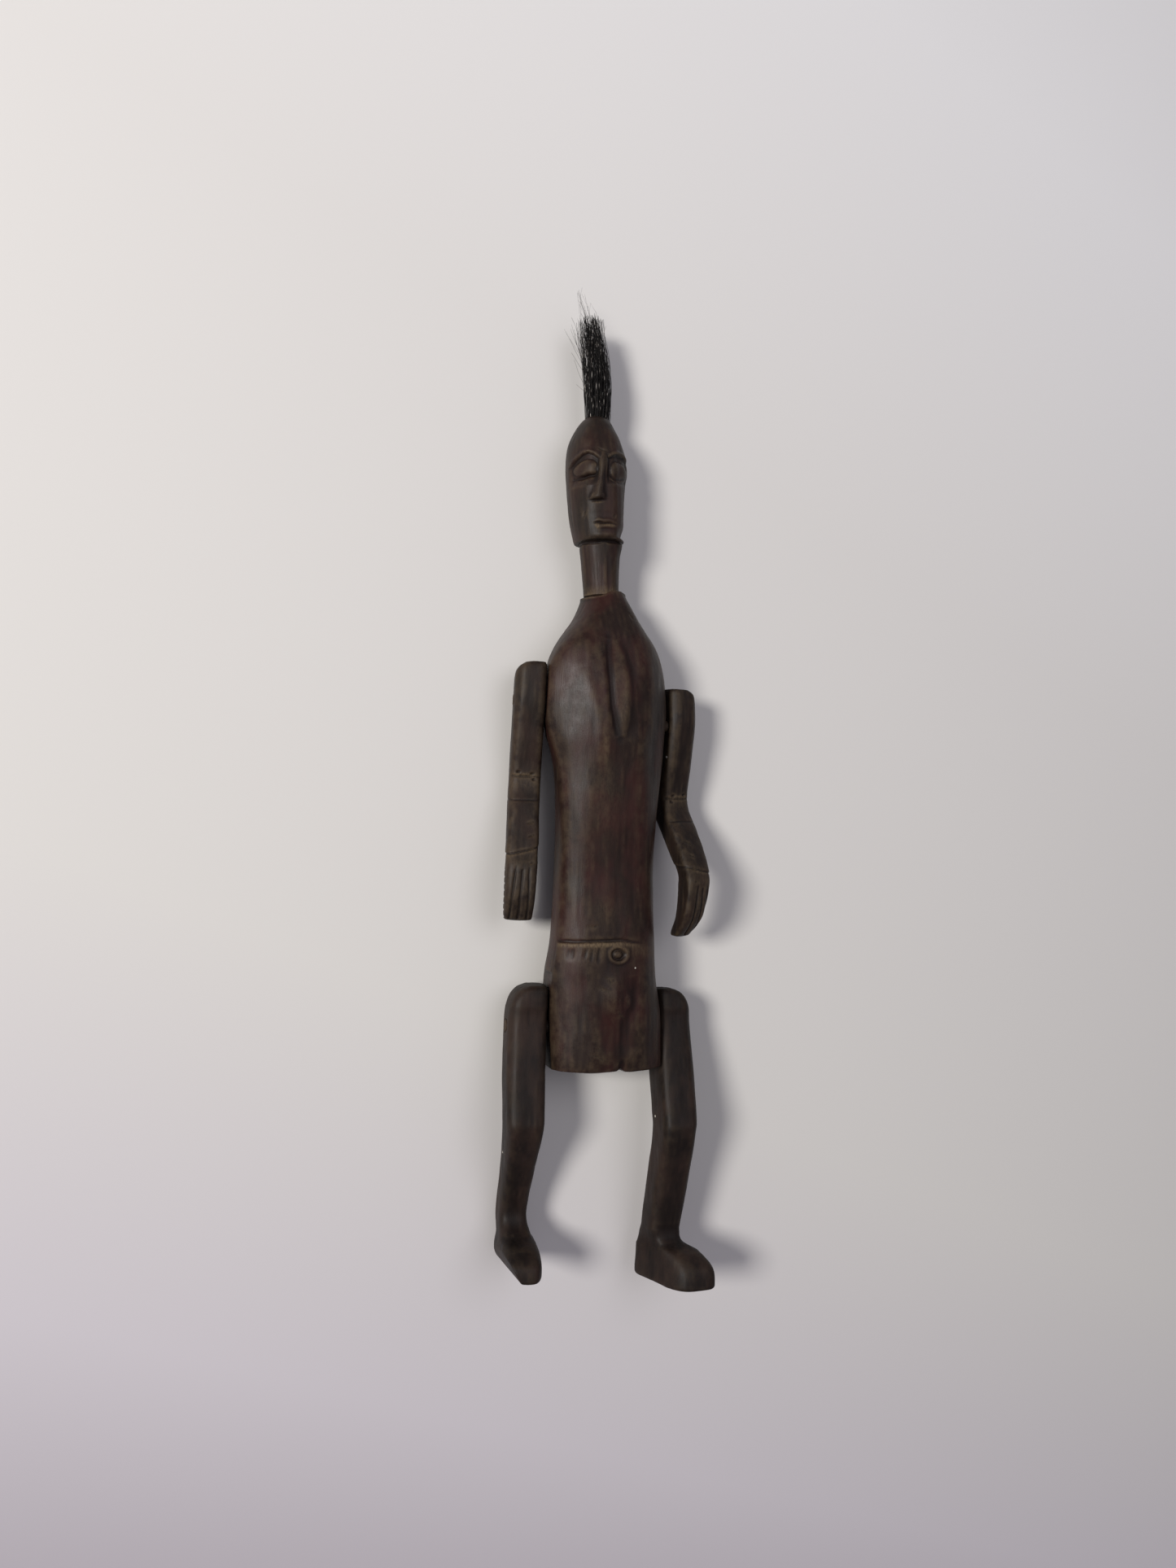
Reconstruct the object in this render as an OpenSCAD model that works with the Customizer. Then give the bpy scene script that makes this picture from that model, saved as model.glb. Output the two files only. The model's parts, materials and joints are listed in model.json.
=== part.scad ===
// Jointed hand-carved hardwood figure, lying on its back.
// +Y runs from the seat to the crown, +Z out of the chest, +X to the figure's left.
// Millimetres. z = 0 is the surface it lies on.

/* [Torso] */
// Height of the collar above the seat
torso_len = 192; // [160:1:230]
// Height of the widest part of the chest above the seat
chest_y = 146; // [130:1:158]
// Height of the waist above the seat
waist_y = 82; // [70:1:100]
// Width across the chest
chest_w = 54; // [47:0.5:65]
// Depth of the chest, back to front
chest_d = 36; // [30:0.5:43]
// Width across the waist
waist_w = 43; // [36:0.5:48]
// Depth of the waist
waist_d = 28; // [23:0.5:32]
// Width across the hips
pelvis_w = 47.6; // [41:0.2:57]
// Depth of the pelvis
pelvis_d = 33; // [27:0.5:40]
// Shift of the pelvis towards the figure's right
pelvis_shift = 2.4; // [0:0.1:3]
// Width of the collar, where the neck goes in
collar_w = 20; // [17:0.5:24]
// Height of the back of the waist above the surface
back_hollow = 2.6; // [0:0.2:5]

/* [Head] */
// Height of the head from the jaw to the crown
head_len = 51; // [43:0.5:61]
// Width of the head
head_w = 24.4; // [21:0.2:29]
// Depth of the head, face to back
head_d = 28; // [24:0.5:34]
// Length of neck that shows between the collar and the jaw
neck_len = 21.5; // [18:0.5:26]
// Width of the neck
neck_w = 15.6; // [12.5:0.2:18.5]
// Height of the neck's middle above the surface
neck_z = 14.2; // [14.2:0.2:17]
// Lean of the neck towards the figure's right, in degrees
neck_lean = 2.2; // [0:0.2:4]
// Shift of the neck towards the figure's right
neck_shift = 1.5; // [0:0.1:3]
// Turn of the head towards the figure's right, in degrees
head_turn = 11; // [0:1:14]
// Diameter of the round tenon under the neck
tenon_d = 9; // [7.5:0.5:11]
// Length of the tenon
tenon_len = 18; // [15:0.5:22]

/* [Arms] */
// Length of an arm from its rounded top to the finger tips
arm_len = 102.3; // [86:0.1:111]
// Thickness of the right arm, from the flank outwards
arm_t_r = 12.5; // [10.5:0.1:15]
// Thickness of the left arm, from the flank outwards
arm_t_l = 13.8; // [11.5:0.1:16.5]
// Front to back depth of the upper arm
arm_d = 13.2; // [11:0.2:15.6]
// Distance from the rounded top of an arm to its peg
arm_top = 15.5; // [13:0.5:18]
// Distance from the peg to the elbow
elbow_y = 31.8; // [27:0.2:38]
// How far the right fingers reach in front of the elbow
hand_reach_r = 12.6; // [10:0.2:15]
// How far the left fingers reach in front of the elbow
hand_reach_l = 18.4; // [13:0.2:22]
// Width of the hand across the knuckles
hand_w = 12.9; // [10.8:0.1:15]
// Gap that shows between the loose left arm and the flank
left_arm_gap = 1.2; // [0.4:0.2:3]

/* [Legs] */
// Length of the right leg from its rounded top to the sole
leg_len_r = 110.5; // [93:0.5:132]
// Length of the left leg from its rounded top to the sole
leg_len_l = 118; // [99:0.5:141]
// Thickness of a thigh, from the flank outwards
thigh_t = 15.7; // [13.1:0.1:18.8]
// Front to back depth of a thigh
thigh_d = 16.4; // [13.6:0.2:18]
// Distance from the rounded top of a leg to its peg
leg_top = 16.4; // [13.6:0.2:18]
// Distance from the right peg to the knee
knee_y_r = 35.5; // [30:0.5:42]
// Distance from the left peg to the knee
knee_y_l = 38; // [32:0.5:45]
// Thickness of the ankle
ankle_t = 11.8; // [9.8:0.2:14]
// Front to back depth of the ankle
ankle_d = 14; // [11.8:0.2:16]
// Length of the right foot, heel to toe
foot_len_r = 34.5; // [29:0.5:41]
// Length of the left foot, heel to toe
foot_len_l = 27.5; // [23:0.5:33]
// Width of the right foot across the sole
foot_w_r = 15.7; // [13.1:0.1:18.8]
// Width of the left foot across the sole
foot_w_l = 17.8; // [14.9:0.1:20]
// Thickness of the right foot above the sole
foot_h_r = 12.6; // [10.6:0.2:15]
// Thickness of the left foot above the sole
foot_h_l = 14.8; // [12.4:0.2:17.6]

/* [Joints] */
// Height of the right shoulder peg above the seat
shoulder_r_y = 148.6; // [140:0.2:152]
// Height of the left shoulder peg above the seat
shoulder_l_y = 139.8; // [133:0.2:149]
// Height of the right hip peg above the seat
hip_r_y = 19; // [16:0.5:24]
// Height of the left hip peg above the seat
hip_l_y = 13.5; // [12:0.5:22]
// Height of the right shoulder peg above the surface
shoulder_z_r = 15.4; // [15:0.2:18]
// Height of the left shoulder peg above the surface
shoulder_z_l = 17; // [15:0.2:18]
// Height of the right hip peg above the surface
hip_z_r = 15.6; // [15:0.2:18]
// Height of the left hip peg above the surface
hip_z_l = 13.4; // [13:0.2:18]
// Diameter of the wooden pegs
peg_d = 5; // [4:0.2:6]
// Depth of a peg inside the torso
peg_in = 12; // [10:0.5:14]
// How far a peg's end stands proud of its limb
peg_out = 0.4; // [0.2:0.1:2]
// Radial play between a peg and the limb that turns on it
peg_play = 0.08; // [0.05:0.01:0.1]
// Gap between a limb and the flat of the flank that it lies against
side_gap = 0.4; // [0.3:0.1:0.8]

/* [Hair] */
// Length of hair that stands above the crown
hair_len = 41; // [34:1:49]
// Width of the tuft where it is fullest
hair_w = 10; // [8.4:0.2:12]
// Diameter of the hair hole in the crown
hair_bore_d = 6.4; // [5.4:0.2:7.6]
// Depth of the hair hole
hair_bore_len = 9; // [7.5:0.5:11]
// Diameter of the wedge that jams the hair in its hole
wedge_d = 2; // [1.6:0.1:2.4]

/* [Hidden] */
sides = 36;
steps = 4;
wood = [0.17, 0.13, 0.12];
wood_light = [0.25, 0.20, 0.17];
peg_wood = [0.33, 0.26, 0.20];
hair_black = [0.05, 0.045, 0.05];

// Angle between each flank and the figure's middle plane, and how far a limb's end tilts outwards.
arm_splay_r = 16;
arm_splay_l = 10;
leg_splay_r = 8;
leg_splay_l = -2;
arm_cant_r = 3.1;
arm_cant_l = -1;
leg_cant_r = 4;
leg_cant_l = -2.8;
// How far each leg hangs forward of straight, in degrees.
leg_swing_r = 1.5;
leg_swing_l = 5;
// How much narrower the left finger tips are, how far they curl back, how far the wrist and
// forearm stand forward of the right one's, and how the hand leans, as a slope.
tip_thin_l = 4;
tip_curl_l = 4.8;
wrist_bow_l = 2.5;
forearm_bow_l = 1.4;
hand_skew_l = -0.22;
// How far the knee stands forward and the heel back, as a share of their distance from the peg.
knee_bow = 0.185;
heel_back_r = 0.08;
heel_back_l = 0.04;
// Height of the ankle above the foot.
ankle_rise_r = 7.7;
ankle_rise_l = 6.6;
// How far each ankle and shin stands out of line, at its inner and its outer face.
ankle_in_r = 0.6;
ankle_in_l = -1.1;
ankle_out_r = 0.1;
ankle_out_l = 1.2;
shin_in_r = 0.3;
shin_in_l = -0.2;
shin_out_r = -0.8;
shin_out_l = 1.3;
// How far each foot reaches inwards past its leg, and how it turns out, as a slope.
foot_in_r = 2.1;
foot_in_l = -1.3;
foot_skew_r = 0.03;
foot_skew_l = 0.42;
// How deep each flank is cut flat for its limb, from half the width there.
shoulder_cut_r = 0.65;
shoulder_cut_l = 1.8;
hip_gap_r = 0.65;
hip_gap_l = 0.15;
// How far the back of the head stands behind the middle of the neck.
head_back = 13.2;
// How far the swung left foot's toe reaches below its straight length.
toe_drop = 0.8;
// Middle of the figure's spread across, from the trunk's middle plane.
mid_x = -4.27;
// Slack in the neck socket, and what the socket's floor clears the tenon by.
tenon_play = 0.08;
tenon_floor = 1;
neck_gap = 0.4;
// The back of the trunk is planed off where it would pass below the surface.
plane_cut = 0.5;

// Where the flat of each flank stands at the height of its peg.
shoulder_x_r = chest_w / 2 - shoulder_cut_r;
shoulder_x_l = chest_w / 2 - shoulder_cut_l;
hip_x_r = pelvis_w / 2 + hip_gap_r + pelvis_shift;
hip_x_l = pelvis_w / 2 + hip_gap_l - pelvis_shift;

arm_drop = arm_len - arm_top;
// The value for the figure's right side or its left.
function pick(side, r, l) = side > 0 ? l : r;
function leg_drop(side) = pick(side, leg_len_r, leg_len_l) - leg_top;
function arm_gap(side) = pick(side, side_gap, left_arm_gap);
function arm_t(side) = pick(side, arm_t_r, arm_t_l);
overall_top = torso_len + neck_gap + neck_len + head_len + hair_len;
sole_y = hip_l_y + leg_top - leg_len_l - toe_drop;
mid_y = (overall_top + sole_y) / 2;

// ---- lofting ----
function mix(a, b, t) = a + (b - a) * t;
function hermite(p0, p1, p2, p3, t) = let (m1 = (p2 - p0) / 2, m2 = (p3 - p1) / 2)
    (2 * t * t * t - 3 * t * t + 1) * p1 + (t * t * t - 2 * t * t + t) * m1
    + (3 * t * t - 2 * t * t * t) * p2 + (t * t * t - t * t) * m2;
function clamp_i(i, n) = max(0, min(n - 1, i));
// Stations filled in with a smooth curve, so that the loft has no creases but the meant ones.
function smooth(list, k) = let (n = len(list)) concat(
    [for (i = [0:n - 2], j = [0:k - 1])
        hermite(list[clamp_i(i - 1, n)], list[i], list[i + 1], list[clamp_i(i + 2, n)], j / k)],
    [list[n - 1]]);
function power(v, e) = sign(v) * pow(abs(v), e);
// A station is [y, x middle, z middle, half width, half depth, squareness, taper to the back].
function ring(s) = [for (i = [0:sides - 1]) let (a = 360 * (i + 0.5) / sides,
        v = power(sin(a), s[5]), u = power(cos(a), s[5]))
    [s[1] + s[3] * u * (1 + s[6] * v), s[0], s[2] + s[4] * v]];
// Rings run towards +Y.
module loft(rings) {
    n = len(rings[0]);
    m = len(rings);
    points = [for (r = rings, p = r) p];
    skin = [for (k = [0:m - 2], i = [0:n - 1]) let (j = (i + 1) % n)
        each [[k * n + i, k * n + j, (k + 1) * n + i], [k * n + j, (k + 1) * n + j, (k + 1) * n + i]]];
    low = [[for (i = [n - 1:-1:0]) i]];
    high = [[for (i = [0:n - 1]) (m - 1) * n + i]];
    polyhedron(points, concat(low, skin, high), convexity = 6);
}

// ---- places ----
module at_origin() { translate([-mid_x, -mid_y, 0]) children(); }
// A limb's own frame: x out of the flank along the peg, y up the body, z forward.
module limb_frame(side, place, splay, cant, swing) {
    mirror([side > 0 ? 0 : 1, 0, 0]) translate(place)
        rotate([0, splay, 0]) rotate([0, 0, cant]) rotate([-swing, 0, 0]) children();
}
module arm_frame(side) {
    if (side > 0)
        limb_frame(side, [shoulder_x_l, shoulder_l_y, shoulder_z_l], arm_splay_l, arm_cant_l, 0) children();
    else
        limb_frame(side, [shoulder_x_r, shoulder_r_y, shoulder_z_r], arm_splay_r, arm_cant_r, 0) children();
}
module leg_frame(side) {
    if (side > 0)
        limb_frame(side, [hip_x_l, hip_l_y, hip_z_l], leg_splay_l, leg_cant_l, leg_swing_l) children();
    else
        limb_frame(side, [hip_x_r, hip_r_y, hip_z_r], leg_splay_r, leg_cant_r, leg_swing_r) children();
}
// The neck's frame: origin on the collar, y up the neck.
module neck_frame() {
    translate([-neck_shift, torso_len, neck_z]) rotate([0, 0, neck_lean]) children();
}
module along_x(d, x0, x1) {
    translate([x0, 0, 0]) rotate([0, 90, 0]) cylinder(d = d, h = x1 - x0, $fn = 48);
}
module along_y(d, y0, y1) {
    translate([0, y0, 0]) rotate([-90, 0, 0]) cylinder(d = d, h = y1 - y0, $fn = 48);
}

// ---- torso ----
function torso_stations() = let (chest_z = chest_d / 2 - plane_cut,
        waist_z = back_hollow + waist_d / 2, pelvis_z = pelvis_d / 2 - plane_cut,
        p = pelvis_shift, n = neck_shift) [
    [1.2, -p * 0.8, pelvis_z, pelvis_w * 0.475, pelvis_d * 0.41, 0.46, 0.05],
    [2.9, -p * 0.85, pelvis_z, pelvis_w * 0.492, pelvis_d * 0.455, 0.5, 0.05],
    [hip_l_y * 0.7, -p, pelvis_z, pelvis_w * 0.5, pelvis_d * 0.49, 0.52, 0.08],
    [hip_r_y + 3, -p * 1.05, pelvis_z, pelvis_w * 0.5, pelvis_d * 0.5, 0.56, 0.08],
    [hip_r_y + 19, -p * 1.6, pelvis_z, pelvis_w * 0.473, pelvis_d * 0.49, 0.66, 0.08],
    [waist_y - 28, -p * 1.2, mix(pelvis_z, waist_z, 0.6), waist_w * 0.49, pelvis_d * 0.45, 0.74, 0.08],
    [waist_y, -p * 0.9, waist_z, waist_w * 0.474, waist_d / 2, 0.78, 0.08],
    [waist_y + 22, -p * 0.6, waist_z + 0.6, waist_w * 0.489, waist_d * 0.53, 0.76, 0.1],
    [chest_y - 22, -0.2, mix(waist_z, chest_z, 0.6), mix(waist_w, chest_w, 0.28) / 2, chest_d * 0.45,
        0.74, 0.12],
    [chest_y - 10, -n * 0.7, chest_z - 0.2, chest_w * 0.469, chest_d * 0.49, 0.7, 0.13],
    [chest_y, -n, chest_z, chest_w * 0.494, chest_d * 0.5, 0.68, 0.13],
    [chest_y + 12, -n * 1.3, chest_z, chest_w * 0.477, chest_d * 0.48, 0.7, 0.13],
    [mix(chest_y, torso_len, 0.52), -n * 1.15, mix(chest_z, neck_z, 0.3), chest_w * 0.4, chest_d * 0.42,
        0.78, 0.1],
    [mix(chest_y, torso_len, 0.8), -n * 0.5, mix(chest_z, neck_z, 0.7), mix(chest_w, collar_w, 0.82) / 2,
        chest_d * 0.34, 0.84, 0.04],
    [torso_len - 2, -n * 0.45, neck_z, collar_w * 0.47, chest_d * 0.285, 0.9, 0],
    [torso_len, -n * 0.5, neck_z, collar_w * 0.455, chest_d * 0.26, 0.9, 0]];
module torso() {
    color(wood) at_origin() difference() {
        loft([for (s = smooth(torso_stations(), steps)) ring(s)]);
        // planed back
        translate([-chest_w, -20, -10]) cube([2 * chest_w, torso_len + 40, 10]);
        // flats for the limbs to lie against
        for (side = [-1, 1]) {
            arm_frame(side) translate([0, -arm_drop, -60]) cube([30, arm_drop + 40, 120]);
            leg_frame(side) translate([0, -30, -60]) cube([30, 52, 120]);
            arm_frame(side) along_x(peg_d, -peg_in, 10);
            leg_frame(side) along_x(peg_d, -peg_in, 10);
        }
        // neck socket
        neck_frame() along_y(tenon_d + 2 * tenon_play, -tenon_len - tenon_floor, 10);
    }
}

// ---- head ----
jaw_y = neck_gap + neck_len;
crown_y = jaw_y + head_len;
head_z = head_d / 2 - head_back;
function bump(t, w) = exp(-t * t / (w * w));
// Carving of the face: how far the front of the head is moved out at x, and at height h above the jaw.
function face(x, h) = let (nose_h = head_len * 0.5, eye_h = head_len * 0.6, eye_x = head_w * 0.23)
    2.6 * bump(x, 2.2)
        * (h > head_len * 0.36 && h < head_len * 0.68 ? 1 - 0.6 * abs(h - head_len * 0.4) / nose_h : 0)
    - 1.4 * bump(abs(x) - eye_x, 3.4) * bump(h - eye_h, 4)
    + 0.8 * bump(h - head_len * 0.72, 2.5) * bump(x, head_w * 0.42)
    + 0.7 * bump(x, 4) * bump(h - head_len * 0.22, 3);
function carve(r, h) = [for (p = r) let (front = (p[2] - head_z) / (head_d / 2))
    [p[0], p[1], p[2] + (front > 0.3 ? face(p[0], h) * min(1, (front - 0.3) / 0.3) : 0)]];
function head_stations() = [
    [jaw_y, -0.7, head_z + 0.5, head_w * 0.37, head_d * 0.36, 0.95, 0],
    [jaw_y + 1.2, -0.8, head_z + 0.4, head_w * 0.405, head_d * 0.43, 0.95, 0],
    [jaw_y + head_len * 0.2, -1.2, head_z, head_w * 0.443, head_d * 0.47, 0.92, 0.02],
    [jaw_y + head_len * 0.42, -1.1, head_z, head_w * 0.475, head_d * 0.49, 0.92, 0.02],
    [jaw_y + head_len * 0.62, -0.8, head_z, head_w * 0.49, head_d * 0.5, 0.94, 0],
    [jaw_y + head_len * 0.78, -0.9, head_z - 0.2, head_w * 0.438, head_d * 0.46, 0.96, 0],
    [jaw_y + head_len * 0.9, -0.6, head_z - 0.5, head_w * 0.325, head_d * 0.36, 1, 0],
    [jaw_y + head_len * 0.97, 0, head_z - 0.8, head_w * 0.22, head_d * 0.24, 1, 0],
    [crown_y, 0, head_z - 1, head_w * 0.15, head_d * 0.16, 1, 0]];
function neck_stations() = [
    [neck_gap, 0, 0, neck_w * 0.46, neck_w * 0.47, 1, 0],
    [neck_gap + neck_len * 0.4, 0, 0, neck_w * 0.48, neck_w * 0.49, 1, 0],
    [jaw_y + 1, 0, 0.3, neck_w * 0.54, neck_w * 0.55, 1, 0],
    [jaw_y + 2, 0, 0.3, neck_w * 0.5, neck_w * 0.5, 1, 0]];
module head() {
    color(wood) at_origin() neck_frame() rotate([0, -head_turn, 0]) difference() {
        union() {
            loft([for (s = smooth(head_stations(), 5)) carve(ring(s), s[0] - jaw_y)]);
            loft([for (s = smooth(neck_stations(), 3)) ring(s)]);
            along_y(tenon_d, -tenon_len, jaw_y + 3);
        }
        translate([0, 0, head_z - 1]) along_y(hair_bore_d, crown_y - hair_bore_len, crown_y + 5);
    }
}

// ---- limbs ----
// A limb station is [y, z middle, half depth, x inner, x outer, squareness].
function limb_ring(s) = ring([s[0], (s[3] + s[4]) / 2, s[1], (s[4] - s[3]) / 2, s[2], s[5], 0]);
function arm_stations(side) = let (o = arm_gap(side), t = arm_t(side), back = -elbow_y * 0.15,
        reach = pick(side, hand_reach_r, hand_reach_l), thin = pick(side, 0, tip_thin_l),
        curl = pick(side, 0, tip_curl_l), bow = pick(side, 0, 1)) [
    [-arm_drop, reach + back - 3.2 - curl, 2.6, o + 1.6, o + hand_w - 1 - thin, 0.6],
    [-arm_drop + 1.5, reach + back - 2.6 - curl * 0.9, 4, o + 1, o + hand_w - 0.4 - thin * 0.9, 0.56],
    [-arm_drop + 9, reach + back - 0.8 - curl * 0.4, 5.4, o + 0.5, o + hand_w - thin * 0.4, 0.54],
    [-arm_drop + 20, reach + back - 1, 5.8, o + 0.2, o + hand_w, 0.52],
    [-arm_drop + 27, reach * 0.78 + back + bow * wrist_bow_l, 5.4, o, o + hand_w, 0.5],
    [-elbow_y - 13, reach * 0.34 + back + bow * forearm_bow_l, 6, o, o + mix(hand_w, t, 0.6), 0.5],
    [-elbow_y, back, arm_d * 0.46, o, o + t - 0.1, 0.48],
    [-elbow_y * 0.45, back * 0.5, arm_d * 0.49, o, o + t, 0.46],
    [0, 0, arm_d * 0.5, o, o + t, 0.46],
    [arm_top - 6, 0, arm_d * 0.5, o, o + t, 0.46],
    [arm_top - 1.8, 0, arm_d * 0.47, o, o + t - 0.9, 0.5],
    [arm_top, 0, arm_d * 0.4, o + 0.6, o + t - 3, 0.56]];
// Leans a limb's ring outwards by slope, from its middle to its front.
function lean(r, middle, slope) = [for (p = r) [p[0] + slope * (p[2] - middle), p[1], p[2]]];
// How much of a lean a ring at height y takes: all of it at the end, none above the joint.
function lean_share(y, low, high) = max(0, min(1, (high - y) / (high - low)));
module arm(side) {
    slope = pick(side, 0, hand_skew_l);
    at_origin() arm_frame(side) difference() {
        loft([for (s = smooth(arm_stations(side), 3))
            lean(limb_ring(s), s[1], slope * lean_share(s[0], -arm_drop + 20, -arm_drop + 32))]);
        along_x(peg_d + 2 * peg_play, -5, arm_t(side) + 10);
    }
}
function leg_stations(side) = let (o = side_gap, drop = leg_drop(side), knee = pick(side, knee_y_r, knee_y_l),
        f_len = pick(side, foot_len_r, foot_len_l), f_w = pick(side, foot_w_r, foot_w_l),
        f_h = pick(side, foot_h_r, foot_h_l), f_in = pick(side, foot_in_r, foot_in_l),
        knee_z = knee * knee_bow, ankle_z = -drop * pick(side, heel_back_r, heel_back_l),
        ankle_y = -drop + f_h + pick(side, ankle_rise_r, ankle_rise_l), heel = ankle_z - ankle_d / 2 - 0.5,
        inner = o - f_in, outer = o + f_w - f_in) [
    [-drop, heel + f_len * 0.5, f_len * 0.485, inner + 0.5, outer - 0.5, 0.5],
    [-drop + 1.5, heel + f_len * 0.5, f_len * 0.5, inner, outer, 0.48],
    [-drop + f_h * 0.5, heel + f_len * 0.48, f_len * 0.48, inner, outer, 0.5],
    [-drop + f_h * 0.8, heel + f_len * 0.40, f_len * 0.4, o - f_in * 0.6,
        o + mix(f_w - f_in, ankle_t, 0.4), 0.54],
    [-drop + f_h, heel + f_len * 0.285, f_len * 0.285, o + 0.2, o + ankle_t + 0.8, 0.56],
    [ankle_y, ankle_z, ankle_d * 0.49, o + 0.9 + pick(side, ankle_in_r, ankle_in_l),
        o + ankle_t + 0.9 + pick(side, ankle_out_r, ankle_out_l), 0.5],
    [mix(ankle_y, -knee, 0.5), mix(ankle_z, knee_z, 0.45), ankle_d * 0.52,
        o + 0.5 + pick(side, shin_in_r, shin_in_l),
        o + mix(ankle_t, thigh_t, 0.6) + pick(side, shin_out_r, shin_out_l), 0.48],
    [-knee - 4, knee_z * 0.9, thigh_d * 0.5, o + 0.2, o + thigh_t - 0.6, 0.46],
    [-knee + 6, knee_z * 0.85, thigh_d * 0.5, o, o + thigh_t, 0.46],
    [0, 0, thigh_d * 0.5, o, o + thigh_t, 0.46],
    [leg_top - 7, 0, thigh_d * 0.49, o, o + thigh_t - 0.8, 0.48],
    [leg_top - 2, 0, thigh_d * 0.44, o, o + thigh_t - 3.5, 0.54],
    [leg_top, 0, thigh_d * 0.36, o + 0.6, o + thigh_t - 7, 0.6]];
module leg(side) {
    slope = pick(side, foot_skew_r, foot_skew_l);
    foot_top = -leg_drop(side) + pick(side, foot_h_r, foot_h_l);
    at_origin() leg_frame(side) difference() {
        loft([for (s = smooth(leg_stations(side), 3))
            lean(limb_ring(s), s[1], slope * lean_share(s[0], foot_top - 2.5, foot_top + 5))]);
        along_x(peg_d + 2 * peg_play, -5, thigh_t + 10);
    }
}
// A peg through a limb whose outer face stands reach away from the flank.
module peg(reach) {
    edge = min(0.4, peg_out);
    along_x(peg_d, -peg_in, reach + peg_out - edge);
    translate([reach + peg_out - edge, 0, 0]) rotate([0, 90, 0])
        cylinder(d1 = peg_d, d2 = peg_d - 2 * edge, h = edge, $fn = 48);
}
module right_arm() { color(wood_light) arm(-1); }
module left_arm() { color(wood_light) arm(1); }
module right_leg() { color(wood_light) leg(-1); }
module left_leg() { color(wood_light) leg(1); }
module right_shoulder_peg() { color(peg_wood) at_origin() arm_frame(-1) peg(arm_gap(-1) + arm_t(-1)); }
module left_shoulder_peg() { color(peg_wood) at_origin() arm_frame(1) peg(arm_gap(1) + arm_t(1)); }
module right_hip_peg() { color(peg_wood) at_origin() leg_frame(-1) peg(side_gap + thigh_t); }
module left_hip_peg() { color(peg_wood) at_origin() leg_frame(1) peg(side_gap + thigh_t); }

// ---- hair ----
module crown_frame() {
    neck_frame() rotate([0, -head_turn, 0]) translate([0, crown_y, head_z - 1]) children();
}
function hair_stations() = [
    [0.2, 0, 0, hair_bore_d * 0.56, hair_bore_d * 0.56, 1, 0],
    [hair_len * 0.08, 0.4, 0, hair_w * 0.42, hair_w * 0.4, 1, 0],
    [hair_len * 0.35, 1.6, 0, hair_w * 0.48, hair_w * 0.42, 1, 0],
    [hair_len * 0.7, 2, 0, hair_w * 0.5, hair_w * 0.42, 1, 0],
    [hair_len, 0.8, 0, hair_w * 0.46, hair_w * 0.34, 1, 0]];
module hair_tuft() {
    color(hair_black) at_origin() crown_frame() difference() {
        union() {
            loft([for (s = smooth(hair_stations(), 3)) ring(s)]);
            along_y(hair_bore_d, -hair_bore_len, 1);
        }
        along_y(wedge_d, -hair_bore_len - 1, -1);
    }
}
module hair_wedge() {
    color(peg_wood) at_origin() crown_frame() along_y(wedge_d, -hair_bore_len, -1);
}

torso();
head();
right_arm();
left_arm();
right_leg();
left_leg();
right_shoulder_peg();
left_shoulder_peg();
right_hip_peg();
left_hip_peg();
hair_tuft();
hair_wedge();
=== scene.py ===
"""A jointed hand-carved hardwood figure lying on its back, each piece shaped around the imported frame."""
import json
import math
import bpy
import numpy as np
from mathutils import Matrix, Vector


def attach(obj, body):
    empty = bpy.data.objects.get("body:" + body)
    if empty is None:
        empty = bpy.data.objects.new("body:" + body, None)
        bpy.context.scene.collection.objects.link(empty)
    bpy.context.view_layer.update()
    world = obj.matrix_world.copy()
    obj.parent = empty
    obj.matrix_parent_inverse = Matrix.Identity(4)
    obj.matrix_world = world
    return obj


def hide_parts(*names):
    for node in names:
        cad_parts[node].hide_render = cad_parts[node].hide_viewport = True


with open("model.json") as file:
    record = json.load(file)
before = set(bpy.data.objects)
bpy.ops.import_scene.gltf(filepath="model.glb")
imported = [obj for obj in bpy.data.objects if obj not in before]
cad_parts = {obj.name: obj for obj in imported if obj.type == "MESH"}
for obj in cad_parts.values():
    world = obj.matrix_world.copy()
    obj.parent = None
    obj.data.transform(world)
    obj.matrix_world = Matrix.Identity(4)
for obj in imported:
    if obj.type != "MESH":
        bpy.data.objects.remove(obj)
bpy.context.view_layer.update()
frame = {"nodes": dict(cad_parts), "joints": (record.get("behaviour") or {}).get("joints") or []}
MM = 0.001

# ---- sizes in millimetres, as in the frame ----
TORSO_LEN = 192.0
CHEST_Y = 146.0
WAIST_Y = 82.0
CHEST_W, CHEST_D = 54.0, 36.0
WAIST_W, WAIST_D = 43.0, 28.0
PELVIS_W, PELVIS_D = 47.6, 33.0
PELVIS_SHIFT = 2.4
COLLAR_W = 20.0
BACK_HOLLOW = 2.6
PLANE_CUT = 0.5
HEAD_LEN, HEAD_W, HEAD_D, HEAD_BACK = 51.0, 24.4, 28.0, 13.2
HEAD_TURN = 11.0  # degrees, towards the figure's right
NECK_GAP, NECK_LEN, NECK_W, NECK_Z = 0.4, 21.5, 15.6, 14.2
NECK_SHIFT = 1.5
TENON_D, TENON_LEN = 9.0, 18.0
ARM_LEN, ARM_D, ARM_TOP = 102.3, 13.2, 15.5
ELBOW_Y, HAND_W = 31.8, 12.9
SIDE_GAP = 0.4
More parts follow.
